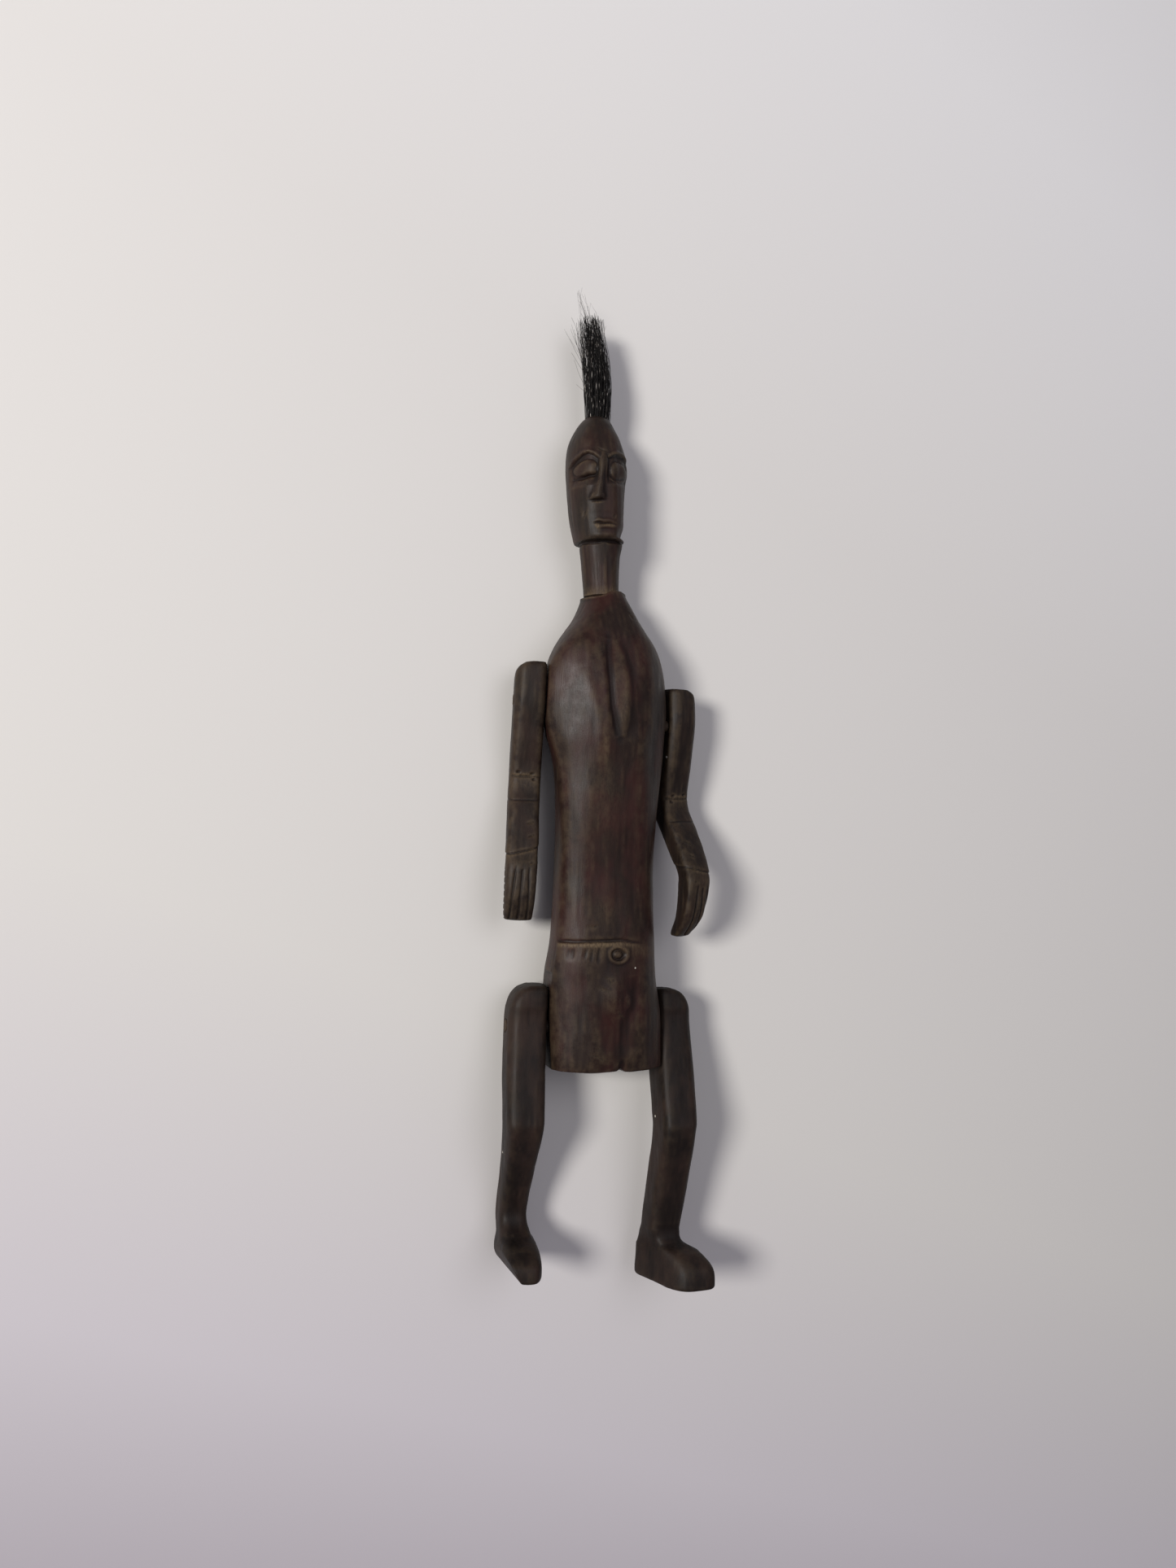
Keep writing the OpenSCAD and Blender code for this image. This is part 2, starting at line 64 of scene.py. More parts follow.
# gap: room beside the flank. thick: at the shoulder. reach: how far forward the hand comes.
# thin, curl: how much narrower and further back the fingertips are. wrist, fore: how far forward
# the wrist and the forearm are carried. skew: how far the hand leans out.
ARM_RIGHT = {"gap": SIDE_GAP, "thick": 12.5, "reach": 12.6, "thin": 0.0, "curl": 0.0,
             "wrist": 0.0, "fore": 0.0, "skew": 0.0}
ARM_LEFT = {"gap": 1.2, "thick": 13.8, "reach": 18.4, "thin": 4.0, "curl": 4.8,
            "wrist": 2.5, "fore": 1.4, "skew": -0.22}
THIGH_T, THIGH_D, LEG_TOP, KNEE_BOW = 15.7, 16.4, 16.4, 0.185
ANKLE_T, ANKLE_D = 11.8, 14.0
# knee: how far below the peg. rise: the ankle over the foot. foot_in: how far in the foot stands.
# heel: how far back the ankle lies, as a share of the leg. ankle_in to shin_out: how far each face
# is moved outwards. skew: how far the foot leans out. swing: degrees about the peg. dip: the toe.
LEG_RIGHT = {"length": 110.5, "knee": 35.5, "foot_len": 34.5, "foot_w": 15.7, "foot_h": 12.6,
             "foot_in": 2.1, "skew": 0.03, "heel": 0.08, "rise": 7.7, "ankle_in": 0.6,
             "ankle_out": 0.1, "shin_in": 0.3, "shin_out": -0.8, "swing": 1.5, "dip": 0.2}
LEG_LEFT = {"length": 118.0, "knee": 38.0, "foot_len": 27.5, "foot_w": 17.8, "foot_h": 14.8,
            "foot_in": -1.3, "skew": 0.42, "heel": 0.04, "rise": 6.6, "ankle_in": -1.1,
            "ankle_out": 1.2, "shin_in": -0.2, "shin_out": 1.3, "swing": 5.0, "dip": 1.4}
PEG_D, PEG_IN, PEG_OUT = 5.0, 12.0, 0.4
# HAIR_SUNK: how far down its hole a strand starts.
HAIR_LEN, HAIR_SUNK = 41.0, 8.0
HIP_R_Y, HIP_L_Y = 19.0, 13.5
HEAD_Z = HEAD_D / 2 - HEAD_BACK
JAW_Y = NECK_GAP + NECK_LEN
CROWN_Y = JAW_Y + HEAD_LEN
CAP_RINGS = 4

# The seat's middle in the frame: the neck joint stands on the collar.
joints = {j["name"]: j for j in frame["joints"]}
SEAT_X = joints["neck_turn"]["pos_m"][0] / MM + NECK_SHIFT
SEAT_Y = joints["neck_turn"]["pos_m"][1] / MM - TORSO_LEN


# ---- lofting ----
def mix(a, b, t):
    return a + (b - a) * t


def smoothstep(a, b, v):
    t = np.clip((v - a) / (b - a), 0, 1)
    return t * t * (3 - 2 * t)


def bump(t, w):
    return np.exp(-(t / w) ** 2)


def curve_through(stations, count):
    """Stations resampled on a smooth curve, evenly along its length."""
    s = np.array(stations, float)
    padded = np.vstack([s[0], s, s[-1]])
    fine = []
    for i in range(len(s) - 1):
        p0, p1, p2, p3 = padded[i:i + 4]
        m1, m2 = (p2 - p0) / 2, (p3 - p1) / 2
        t = np.linspace(0, 1, 40, endpoint=i == len(s) - 2)[:, None]
        fine.append((2 * t**3 - 3 * t**2 + 1) * p1 + (t**3 - 2 * t**2 + t) * m1
                    + (3 * t**2 - 2 * t**3) * p2 + (t**3 - t**2) * m2)
    fine = np.vstack(fine)
    step = np.abs(np.diff(fine[:, 0])) + 0.7 * np.abs(np.diff(fine[:, 3])) + 0.7 * np.abs(np.diff(fine[:, 4]))
    along = np.concatenate([[0], np.cumsum(step)])
    want = np.linspace(0, along[-1], count)
    return np.stack([np.interp(want, along, fine[:, k]) for k in range(s.shape[1])], 1)


def rings(stations, sides):
    """Rounded-rectangle rings, with their points spread evenly round. A station is
    [y, x middle, z middle, half width, half depth, squareness, taper]."""
    a = np.linspace(0, 2 * np.pi, 1441)
    out = []
    for y, xm, zm, w, d, sq, taper in stations:
        u = np.sign(np.cos(a)) * np.abs(np.cos(a)) ** sq
        v = np.sign(np.sin(a)) * np.abs(np.sin(a)) ** sq
        x, z = w * u * (1 + taper * v), d * v
        run = np.concatenate([[0], np.cumsum(np.hypot(np.diff(x), np.diff(z)))])
        want = np.linspace(0, run[-1], sides, endpoint=False)
        across, deep = np.interp(want, run, x), np.interp(want, run, z)
        out.append(np.stack([xm + across, np.full(sides, y), zm + deep], 1))
    return np.array(out)


def cap(ring, rise):
    """Rings that close an end, drawn in to its middle and slightly domed."""
    middle = ring.mean(0)
    out = []
    for t in np.linspace(0, 1, CAP_RINGS + 2)[1:-1]:
        r = middle + (ring - middle) * (1 - t)
        r[:, 1] += rise * math.sin(t * math.pi / 2)
        out.append(r)
    return out


def closed(grid, low_rise, high_rise):
    """A grid of rings with both ends capped."""
    low = cap(grid[0], low_rise)[::-1]
    high = cap(grid[-1], high_rise)
    return np.concatenate([np.array(low), grid, np.array(high)])


def with_caps(values, low=CAP_RINGS, high=CAP_RINGS):
    """Values on a grid, with zeros for the rings added at its ends."""
    return np.pad(values, ((low, high), (0, 0)))


def normals(grid):
    du = np.roll(grid, -1, 1) - np.roll(grid, 1, 1)
    dv = np.gradient(grid, axis=0)
    n = np.cross(dv, du)
    n /= np.linalg.norm(n, axis=2, keepdims=True) + 1e-9
    centre = grid.mean(1, keepdims=True)
    out = np.sign(np.mean(np.sum(n * (grid - centre), 2)))
    return n * out


def cut(grid, point, direction, soft=0.25, keep=1.0):
    """Planes off what stands past a plane, as a knife does. soft is the edge's roundness."""
    n = np.array(direction, float)
    n /= np.linalg.norm(n)
    past = (grid - np.array(point, float)) @ n
    off = soft * np.logaddexp(0, np.clip(past / soft, -40, 200))
    return grid - n * (off * keep)[..., None]


LATTICE = 32
lattice = np.random.RandomState(7).rand(LATTICE, LATTICE, LATTICE)


def noise(p, size, shift=0.0):
    """Smooth noise from -1 to 1 over points p. size is one number for each axis."""
    q = p / np.array(size) + shift
    i = np.floor(q).astype(int)
    f = q - i
    f = f * f * (3 - 2 * f)
    total = 0
    for dx in (0, 1):
        for dy in (0, 1):
            for dz in (0, 1):
                w = (f[..., 0] if dx else 1 - f[..., 0]) * (f[..., 1] if dy else 1 - f[..., 1]) \
                    * (f[..., 2] if dz else 1 - f[..., 2])
                cell = (i + (dx, dy, dz)) % LATTICE
                total = total + w * lattice[cell[..., 0], cell[..., 1], cell[..., 2]]
    return total * 2 - 1


def handwork(grid, layers):
    """The wandering surface that a knife leaves. A layer is its height, its size and its shift."""
    return sum(height * noise(grid, size, shift) for height, size, shift in layers)


def path_distance(x, y, path):
    """How far each point is from a line through points, and how far along it that is, from 0 to 1."""
    best = np.full(x.shape, 1e9)
    where = np.zeros(x.shape)
    for k in range(len(path) - 1):
        (x0, y0), (x1, y1) = path[k], path[k + 1]
        t = np.clip(((x - x0) * (x1 - x0) + (y - y0) * (y1 - y0)) / ((x1 - x0) ** 2 + (y1 - y0) ** 2), 0, 1)
        d = np.hypot(x - x0 - t * (x1 - x0), y - y0 - t * (y1 - y0))
        where = np.where(d < best, (k + t) / (len(path) - 1), where)
        best = np.minimum(best, d)
    return best, where


def stroke(x, y, path, width, taper=True):
    """1 on a line through points, falling to 0 beside it, and at its ends if it tapers."""
    d, t = path_distance(x, y, path)
    ends = np.sin(np.pi * np.clip(t, 0.02, 0.98)) ** 0.5 if taper else 1
    return bump(d, width) * ends


def strokes(x, y, lines):
    """The sum of strokes, each given as its height, its width and its points."""
    return sum(height * stroke(x, y, path, width) for height, width, path in lines)


def spot(x, y, at, wide, tall):
    """1 at a point, falling to 0 over an oval."""
    return bump(np.hypot((x - at[0]) / wide, (y - at[1]) / tall), 1.0)


def blur(values, reach):
    out = values
    for _ in range(reach):
        out = (np.roll(out, 1, 1) + np.roll(out, -1, 1)
               + np.concatenate([out[:1], out[:-1]]) + np.concatenate([out[1:], out[-1:]])) / 4
    return out


def edge_wear(grid):
    """How far each point stands out, as on a ridge that hands rub, and how far it lies in a hollow."""
    lift = np.sum((grid - blur(grid, 6)) * normals(grid), 2)
    full = 0.05
    return np.clip(lift / full, 0, 1), np.clip(-lift / full, 0, 1)


def add_mesh(name, grid, place, material, body, node, tan=None):
    """One carved piece from its grid. place is a 4 x 4 matrix from millimetres in its own frame to metres."""
    wear, hollow = edge_wear(grid)
    m, n = grid.shape[:2]
    points = np.vstack([grid.reshape(-1, 3), grid[0].mean(0), grid[-1].mean(0)])
    world = np.hstack([points, np.ones((len(points), 1))]) @ np.array(place).T
    i, j = np.meshgrid(np.arange(m - 1), np.arange(n), indexing="ij")
    k = (j + 1) % n
    quads = np.stack([i * n + j, i * n + k, (i + 1) * n + k, (i + 1) * n + j], -1).reshape(-1, 4)
    first, last = m * n, m * n + 1
    ring = np.arange(n)
    after = (ring + 1) % n
    low = np.stack([after, ring, np.full(n, first)], 1)
    high = np.stack([(m - 1) * n + ring, (m - 1) * n + after, np.full(n, last)], 1)
    faces = [list(f) for f in quads] + [list(f) for f in low] + [list(f) for f in high]
    # Outwards: a face's turn has to agree with the normal that points away from the middle.
    p = world[:, :3]
    a, b, c = (p[quads[:, q]] for q in (0, 1, 2))
    centre = p[:m * n].reshape(m, n, 3).mean(1)[quads[:, 0] // n]
    if np.sum(np.cross(b - a, c - a) * (a - centre)) < 0:
        faces = [f[::-1] for f in faces]
    mesh = bpy.data.meshes.new(name)
    mesh.from_pydata([tuple(v) for v in p], [], faces)
    mesh.update()
    mesh.polygons.foreach_set("use_smooth", [True] * len(mesh.polygons))
    for label, values in (("wear", wear), ("hollow", hollow), ("tan", tan)):
        layer = mesh.attributes.new(label, "FLOAT", "POINT")
        flat = np.zeros(len(p)) if values is None else np.concatenate([values.reshape(-1), [0, 0]])
        layer.data.foreach_set("value", flat.astype(np.float32))
    mesh.materials.append(material)
    piece = bpy.data.objects.new(name, mesh)
    bpy.context.scene.collection.objects.link(piece)
    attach(piece, body)
    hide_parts(node)
    return piece

# ---- places ----
def torso_place():
    return Matrix.Translation((SEAT_X * MM, SEAT_Y * MM, 0)) @ Matrix.Scale(MM, 4)


def stand_at(joint, axes, turn, about):
    """A frame in millimetres at a joint, with these axes, turned by degrees about one of them."""
    stand = Matrix(axes).transposed().to_4x4()
    turned = Matrix.Rotation(math.radians(-turn), 4, about)
    return Matrix.Translation(joint["pos_m"]) @ stand @ turned @ Matrix.Scale(MM, 4)


def neck_place(turn):
    """The neck's frame, y up the neck, turned towards the figure's right by turn degrees."""
    joint = joints["neck_turn"]
    y = Vector(joint["axis"]).normalized()
    x = y.cross(Vector((0, 0, 1))).normalized()
    return stand_at(joint, (x, y, x.cross(y)), turn, "Y")


def limb_place(name, side, swing):
    """A limb's frame: x out of the flank along its peg, y up the body, z forward."""
    joint = joints[name]
    x = Vector(joint["axis"]).normalized()
    if side > 0:
        x = -x
    y = (Vector((0, 1, 0)) - x * x.y).normalized()
    return stand_at(joint, (x, y, x.cross(y) * side), swing, "X")


# ---- materials ----
BLACK, WHITE = (0, 0, 0), (1, 1, 1)
BLACK_BROWN = (0.0072, 0.0043, 0.0036)
WARM_BROWN = (0.0250, 0.0138, 0.0102)
RED_BROWN = (0.034, 0.0118, 0.0098)
GREY_BROWN = (0.0200, 0.0132, 0.0096)
# the legs' darker brown: painted shade of the light falling off towards the feet
LEG_SHADED_BROWN = (0.0125, 0.0078, 0.0060)
WORN_TAN = (0.125, 0.088, 0.050)
SPECK_CREAM = (0.55, 0.52, 0.45)
# How fine each pattern is, per metre: across, along and across the grain.
STREAKS = (700, 45, 700)
PORES = (2600, 190, 2600)
MOTTLE = (75, 38, 75)
SMUDGE = (260, 210, 260)
FINE = (1700, 1500, 1700)
GAPS = (1500, 500, 1500)
SCRATCHES = (900, 90, 900)
FACETS = (190, 85, 190)
SPECKS = 52.0


def node(tree, kind, **settings):
    made = tree.nodes.new(kind)
    for key, value in settings.items():
        setattr(made, key, value)
    return made


def mix3(a, b, t):
    return tuple(mix(p, q, t) for p, q in zip(a, b))


def grey(value):
    return (value, value, value)


def plain_material(name):
    """A new material, with its tree, shader and object coordinates."""
    material = bpy.data.materials.new(name)
    material.use_nodes = True
    tree = material.node_tree
    coords = node(tree, "ShaderNodeTexCoord").outputs["Object"]
    return material, tree, tree.nodes["Principled BSDF"], coords


def colour_ramp(tree, source, stops):
    ramp = node(tree, "ShaderNodeValToRGB")
    elements = ramp.color_ramp.elements
    while len(elements) < len(stops):
        elements.new(0.5)
    for element, (at, colour) in zip(elements, stops):
        element.position = at
        element.color = (*colour, 1)
    tree.links.new(source, ramp.inputs["Fac"])
    return ramp.outputs["Color"]


def stretched(tree, coords, scale):
    mapping = node(tree, "ShaderNodeMapping")
    mapping.inputs["Scale"].default_value = scale
    tree.links.new(coords, mapping.inputs["Vector"])
    return mapping.outputs["Vector"]


def grain_noise(tree, coords, scale, detail, rough, distort=0.0):
    """Noise drawn out along the figure."""
    made = node(tree, "ShaderNodeTexNoise")
    made.inputs["Scale"].default_value = 1.0
    made.inputs["Detail"].default_value = detail
    made.inputs["Roughness"].default_value = rough
    made.inputs["Distortion"].default_value = distort
    tree.links.new(stretched(tree, coords, scale), made.inputs["Vector"])
    return made.outputs["Fac"]


def blend_colour(tree, factor, a, b):
    made = node(tree, "ShaderNodeMix", data_type="RGBA")
    for socket, value in ((made.inputs[0], factor), (made.inputs[6], a), (made.inputs[7], b)):
        if isinstance(value, (int, float)):
            socket.default_value = value
        elif isinstance(value, tuple):
            socket.default_value = (*value, 1)
        else:
            tree.links.new(value, socket)
    return made.outputs[2]


def maths(tree, operation, a, b=0.5, clamp=False):
    made = node(tree, "ShaderNodeMath", operation=operation, use_clamp=clamp)
    for socket, value in zip(made.inputs, (a, b)):
        if isinstance(value, (int, float)):
            socket.default_value = value
        else:
            tree.links.new(value, socket)
    return made.outputs[0]


def product(tree, a, b, clamp=False):
    return maths(tree, "MULTIPLY", a, b, clamp)


def attribute(tree, name):
    return node(tree, "ShaderNodeAttribute", attribute_name=name).outputs["Fac"]


def wood_relief(tree, coords, streaks, pores, fine, facet, streak):
    """Facets left by the knife, the grain's ridges and pores, and fine scratches."""
    cells = node(tree, "ShaderNodeTexVoronoi", feature="SMOOTH_F1")
    cells.inputs["Scale"].default_value = 1.0
    cells.inputs["Smoothness"].default_value = 0.35
    tree.links.new(stretched(tree, coords, FACETS), cells.inputs["Vector"])
    scratches = colour_ramp(tree, grain_noise(tree, coords, SCRATCHES, 2, 0.5, 1.6),
                            [(0.485, WHITE), (0.5, BLACK), (0.515, WHITE)])
    relief = None
    # each layer's strength, and its depth in metres
    for height, strength, depth in ((cells.outputs["Distance"], facet, 0.0006), (streaks, streak, 0.00025),
                                    (pores, 0.5, 0.0001), (scratches, 0.12, 0.00006), (fine, 0.3, 0.00005)):
        made = node(tree, "ShaderNodeBump")
        made.inputs["Strength"].default_value = strength
        made.inputs["Distance"].default_value = depth
        tree.links.new(height, made.inputs["Height"])
        if relief is not None:
            tree.links.new(relief, made.inputs["Normal"])
        relief = made.outputs["Normal"]
    return relief


def carved_wood(name, dark, brown, red, roughness, facet, streak, grain, rubbed):
    """Oiled near-black hardwood: drawn-out grain, pores, reddish patches, rubbed edges and tool facets.
    facet and streak are the strengths of the relief, grain is the contrast, rubbed the wear of the edges."""
    material, tree, shader, coords = plain_material(name)
    streaks = grain_noise(tree, coords, STREAKS, 5, 0.6, 0.4)
    pores = grain_noise(tree, coords, PORES, 3, 0.7)
    mottle = grain_noise(tree, coords, MOTTLE, 3, 0.6)
    smudge = grain_noise(tree, coords, SMUDGE, 4, 0.65)
    fine = grain_noise(tree, coords, FINE, 3, 0.7)
    middle = mix3(dark, brown, 0.5)
    shades = [(0.32, mix3(middle, dark, grain)), (0.50, middle), (0.68, mix3(middle, brown, grain))]
    patches = colour_ramp(tree, mottle, [(0.42, BLACK), (0.62, grey(0.85))])
    reddened = blend_colour(tree, patches, colour_ramp(tree, streaks, shades), red)
    pits = colour_ramp(tree, pores, [(0.30, grey(0.25 + 0.5 * grain)), (0.42, BLACK)])
    pored = blend_colour(tree, pits, reddened, mix3(dark, BLACK, 0.5))
    # rubbed edges, and bare wood where it was cut or worn; the tan marks also carry a few painted highlights
    bare_and_highlit = attribute(tree, "tan")
    broken = colour_ramp(tree, smudge, [(0.36, BLACK), (0.62, WHITE)])
    worn = product(tree, product(tree, attribute(tree, "wear"), broken), rubbed)
    faded = blend_colour(tree, worn, pored, mix3(brown, WORN_TAN, 0.5))
    gapped = colour_ramp(tree, grain_noise(tree, coords, GAPS, 3, 0.7), [(0.36, grey(0.25)), (0.6, WHITE)])
    bare_and_highlit_wood = blend_colour(tree, product(tree, bare_and_highlit, gapped, True), faded, WORN_TAN)
    # painted shade darkening the hollows, dust and a few pale specks
    hollow_shaded = blend_colour(tree, product(tree, attribute(tree, "hollow"), 0.55), bare_and_highlit_wood, mix3(dark, BLACK, 0.6))
    dust = colour_ramp(tree, fine, [(0.70, BLACK), (0.80, grey(0.35))])
    dusty = blend_colour(tree, dust, hollow_shaded, mix3(WORN_TAN, grey(0.3), 0.2))
    spots = node(tree, "ShaderNodeTexVoronoi")
    spots.inputs["Scale"].default_value = SPECKS
    tree.links.new(coords, spots.inputs["Vector"])
    specks = colour_ramp(tree, spots.outputs["Distance"], [(0.02, WHITE), (0.028, BLACK)])
    tree.links.new(blend_colour(tree, specks, dusty, SPECK_CREAM), shader.inputs["Base Color"])
    rough = maths(tree, "ADD", product(tree, smudge, 0.26), roughness - 0.13)
    tree.links.new(maths(tree, "ADD", rough, product(tree, bare_and_highlit, 0.2), True), shader.inputs["Roughness"])
    shader.inputs["Specular IOR Level"].default_value = 0.2
    relief = wood_relief(tree, coords, streaks, pores, fine, facet, streak)
    tree.links.new(relief, shader.inputs["Normal"])
    return material


def trunk_oil():
    return carved_wood("trunk_wood", BLACK_BROWN, WARM_BROWN, RED_BROWN, 0.42, 0.25, 0.08, 0.2, 0.45)


def head_oil():
    reddish = mix3(WARM_BROWN, RED_BROWN, 0.4)
    return carved_wood("head_wood", BLACK_BROWN, GREY_BROWN, reddish, 0.48, 0.2, 0.2, 0.45, 0.5)


def arm_oil():
    return carved_wood("limb_wood", BLACK_BROWN, GREY_BROWN, WARM_BROWN, 0.50, 0.3, 0.3, 0.5, 0.5)


def shaded_leg_oil():
    # A darker copy of the limb wood for the legs: painted shade of the light falling off towards the feet.
    black = mix3(BLACK_BROWN, BLACK, 0.3)
    return carved_wood("shaded_leg_wood", black, LEG_SHADED_BROWN, WARM_BROWN, 0.54, 0.25, 0.2, 0.4, 0.2)


def peg_oil():
    return carved_wood("peg_wood", WARM_BROWN, GREY_BROWN, WARM_BROWN, 0.6, 0.3, 0.5, 1.0, 0.5)


trunk_wood = trunk_oil()
head_wood = head_oil()
limb_wood = arm_oil()
shaded_leg_wood = shaded_leg_oil()
peg_wood = peg_oil()


# ---- torso ----
def torso_stations():
    chest_z = CHEST_D / 2 - PLANE_CUT
    waist_z = BACK_HOLLOW + WAIST_D / 2
    pelvis_z = PELVIS_D / 2 - PLANE_CUT
    s = PELVIS_SHIFT
    n = NECK_SHIFT
    low_chest_w = mix(WAIST_W, CHEST_W, 0.28) / 2
    shoulder_y = mix(CHEST_Y, TORSO_LEN, 0.52)
    return [
        [0.4, -s * 0.95, pelvis_z, PELVIS_W * 0.5, PELVIS_D * 0.43, 0.40, 0.05],
        [1.8, -s * 0.95, pelvis_z, PELVIS_W * 0.502, PELVIS_D * 0.46, 0.44, 0.05],
        [HIP_L_Y * 0.7, -s, pelvis_z, PELVIS_W * 0.5, PELVIS_D * 0.49, 0.52, 0.08],
        [HIP_R_Y + 3, -s * 1.05, pelvis_z, PELVIS_W * 0.5, PELVIS_D * 0.5, 0.56, 0.08],
        [HIP_R_Y + 19, -s * 1.6, pelvis_z, PELVIS_W * 0.473, PELVIS_D * 0.49, 0.66, 0.08],
        [WAIST_Y - 28, -s * 1.2, mix(pelvis_z, waist_z, 0.6), WAIST_W * 0.49, PELVIS_D * 0.45, 0.74, 0.08],
        [WAIST_Y, -s * 0.9, waist_z, WAIST_W * 0.474, WAIST_D / 2, 0.78, 0.08],
        [WAIST_Y + 22, -s * 0.6, waist_z + 0.6, WAIST_W * 0.489, WAIST_D * 0.53, 0.76, 0.1],
        [CHEST_Y - 22, -0.2, mix(waist_z, chest_z, 0.6), low_chest_w, CHEST_D * 0.45, 0.74, 0.12],
        [CHEST_Y - 10, -n * 0.7, chest_z - 0.2, CHEST_W * 0.469, CHEST_D * 0.49, 0.7, 0.13],
        [CHEST_Y, -n, chest_z, CHEST_W * 0.494, CHEST_D * 0.5, 0.68, 0.13],
        [CHEST_Y + 12, -n * 1.3, chest_z, CHEST_W * 0.477, CHEST_D * 0.48, 0.7, 0.13],
        [shoulder_y, -n * 1.15, mix(chest_z, NECK_Z, 0.3), CHEST_W * 0.4, CHEST_D * 0.42, 0.78, 0.1],
        [mix(CHEST_Y, TORSO_LEN, 0.8), -n * 0.5, mix(chest_z, NECK_Z, 0.7), mix(CHEST_W, COLLAR_W, 0.82) / 2,
         CHEST_D * 0.34, 0.84, 0.04],
        [TORSO_LEN - 2, -n * 0.45, NECK_Z, COLLAR_W * 0.47, CHEST_D * 0.285, 0.9, 0],
        [TORSO_LEN, -n * 0.5, NECK_Z, COLLAR_W * 0.455, CHEST_D * 0.26, 0.9, 0]]


def flank_flats(grid):
    """Flats for the limbs, cut where each limb's inner face lies, a hair below the frame's own."""
    to_torso = torso_place().inverted()
    for name, side, reach in (("right_shoulder", -1, (-90, 40)), ("left_shoulder", 1, (-90, 40)),
                              ("right_hip", -1, (-30, 22)), ("left_hip", 1, (-30, 22))):
        place = limb_place(name, side, 0)
        point = to_torso @ place.translation
        out = (place.to_3x3() @ Vector((1, 0, 0))).normalized()
        near = (grid[..., 1] > point.y + reach[0]) & (grid[..., 1] < point.y + reach[1])
        grid = np.where(near[..., None], cut(grid, point, out, 0.12), grid)
    return grid


# Each relief below gives how far the surface stands out, in millimetres, and how pale the wood is painted:
# mostly bare wood, in a few places a painted highlight.
def chest_relief(x, y):
    """A leaf-shaped keel between two scoops, and a soft ridge over each breast."""
    keel = [(-3.3, 174), (-1.2, 166), (-0.2, 157), (0.2, 147), (-0.8, 139), (-2.2, 134)]
    scoop_r = [(-5.6, 174), (-6.4, 166), (-6.4, 158), (-5.9, 147), (-4.2, 139), (-2.6, 134)]
    scoop_l = [(-1.6, 174), (1.9, 166), (4.6, 158), (5.6, 150), (4.0, 140), (-1.0, 134)]
    d = strokes(x, y, [(-1.35, 2.0, scoop_r), (-0.6, 4.6, scoop_l), (0.55, 2.0, keel),
                       (0.5, 2.6, [(-17, 162), (-14, 153), (-11.5, 144), (-9.2, 134), (-8.5, 122)]),
                       (0.5, 4.5, [(12, 164), (13, 150), (11, 136), (8, 122)])])
    d -= 0.35 * bump(x - 15, 5) * bump(y - 128, 22)
    # The keel's stroke and the small spot over the waist are bare wood; the stroke down the figure's right
    # breast and the tall spot below it are painted highlights.
    tan = strokes(x, y, [(0.30, 1.4, [(-2.2, 136), (-0.4, 146), (-0.2, 156), (-1.4, 166)]),
                         (0.34, 1.3, [(-9.6, 140), (-8.4, 131), (-8.2, 124)])])
    tan += 0.16 * spot(x, y, (-8, 112), 6, 16) + 0.20 * spot(x, y, (-7, 65), 5, 6)
    return d, tan


def belly_relief(x, y, grid):
    """A faint ridge down the middle, and the knife's long flutes."""
    flutes = np.cos(x * 0.9 + 2.2 * noise(grid, (60, 40, 60)))
    d = 0.2 * bump(x + 4, 6) * smoothstep(58, 75, y) * smoothstep(128, 105, y)
    return d + 0.02 * flutes * smoothstep(56, 62, y) * smoothstep(135, 120, y), 0


def waist_relief(x, y, grid):
    """The waist line, under which the hips stand proud, and a row of gouges below it."""
    above = y - 53.2 + 4.0 * smoothstep(-2, 22, x) - 0.35 * noise(grid, (5, 5, 5), 3.1)
    hold = smoothstep(12, -6, x)
    d = 0.45 * smoothstep(0.3, -0.7, above) * smoothstep(-17, -4, above) * hold
    d -= 0.4 * bump(above - 0.5, 0.5) * hold
    tan = 0.85 * bump(above + 0.9, 0.8) * hold
    tan += 0.3 * bump(above + 2.5, 2.6) * smoothstep(22, 12, x) * smoothstep(-24, -12, x)
    for k in range(7):
        at = -21.4 + 1.85 * k + 0.55 * math.sin(5.1 * k)
        foot = 46.6 - 1.3 * math.sin(3.3 * k)
        gouge = (0.6 + 0.4 * math.sin(2.3 * k)) * stroke(x, y, [(at + 0.5, 51.2), (at - 0.2, foot)], 0.7)
        d -= 0.45 * gouge
        tan += 0.16 * gouge
    return d, tan


def navel_relief(x, y, grid):
    r = np.hypot(x + 2.1, (y - 48.1) * 1.3) + 0.35 * noise(grid, (2.4, 2.4, 2.4), 8.2)
    d = 0.35 * bump(r - 3.9, 0.75) - 0.85 * bump(r - 2.5, 0.7) + 0.2 * bump(r, 1.1)
    return d, 0.34 * bump(r - 3.9, 0.5) + 0.2 * bump(r, 0.9)


def hip_relief(x, y):
    """One soft swelling, and the folds to the thighs."""
    d = 2.3 * spot(x, y, (-4.6, 31.0), 5.12, 7.6)
    d -= 0.5 * stroke(x, y, [(4.4, 40), (4.8, 34), (3.0, 27), (0.4, 21), (-0.6, 13), (-0.4, 5)], 3.4)
    d += 0.7 * spot(x, y, (1.4, 29.5), 1.98, 2.88)
    return d + 0.7 * spot(x, y, (4, 6.5), 5.2, 4.4) + 0.4 * spot(x, y, (-8, 7), 5.6, 4.4), 0


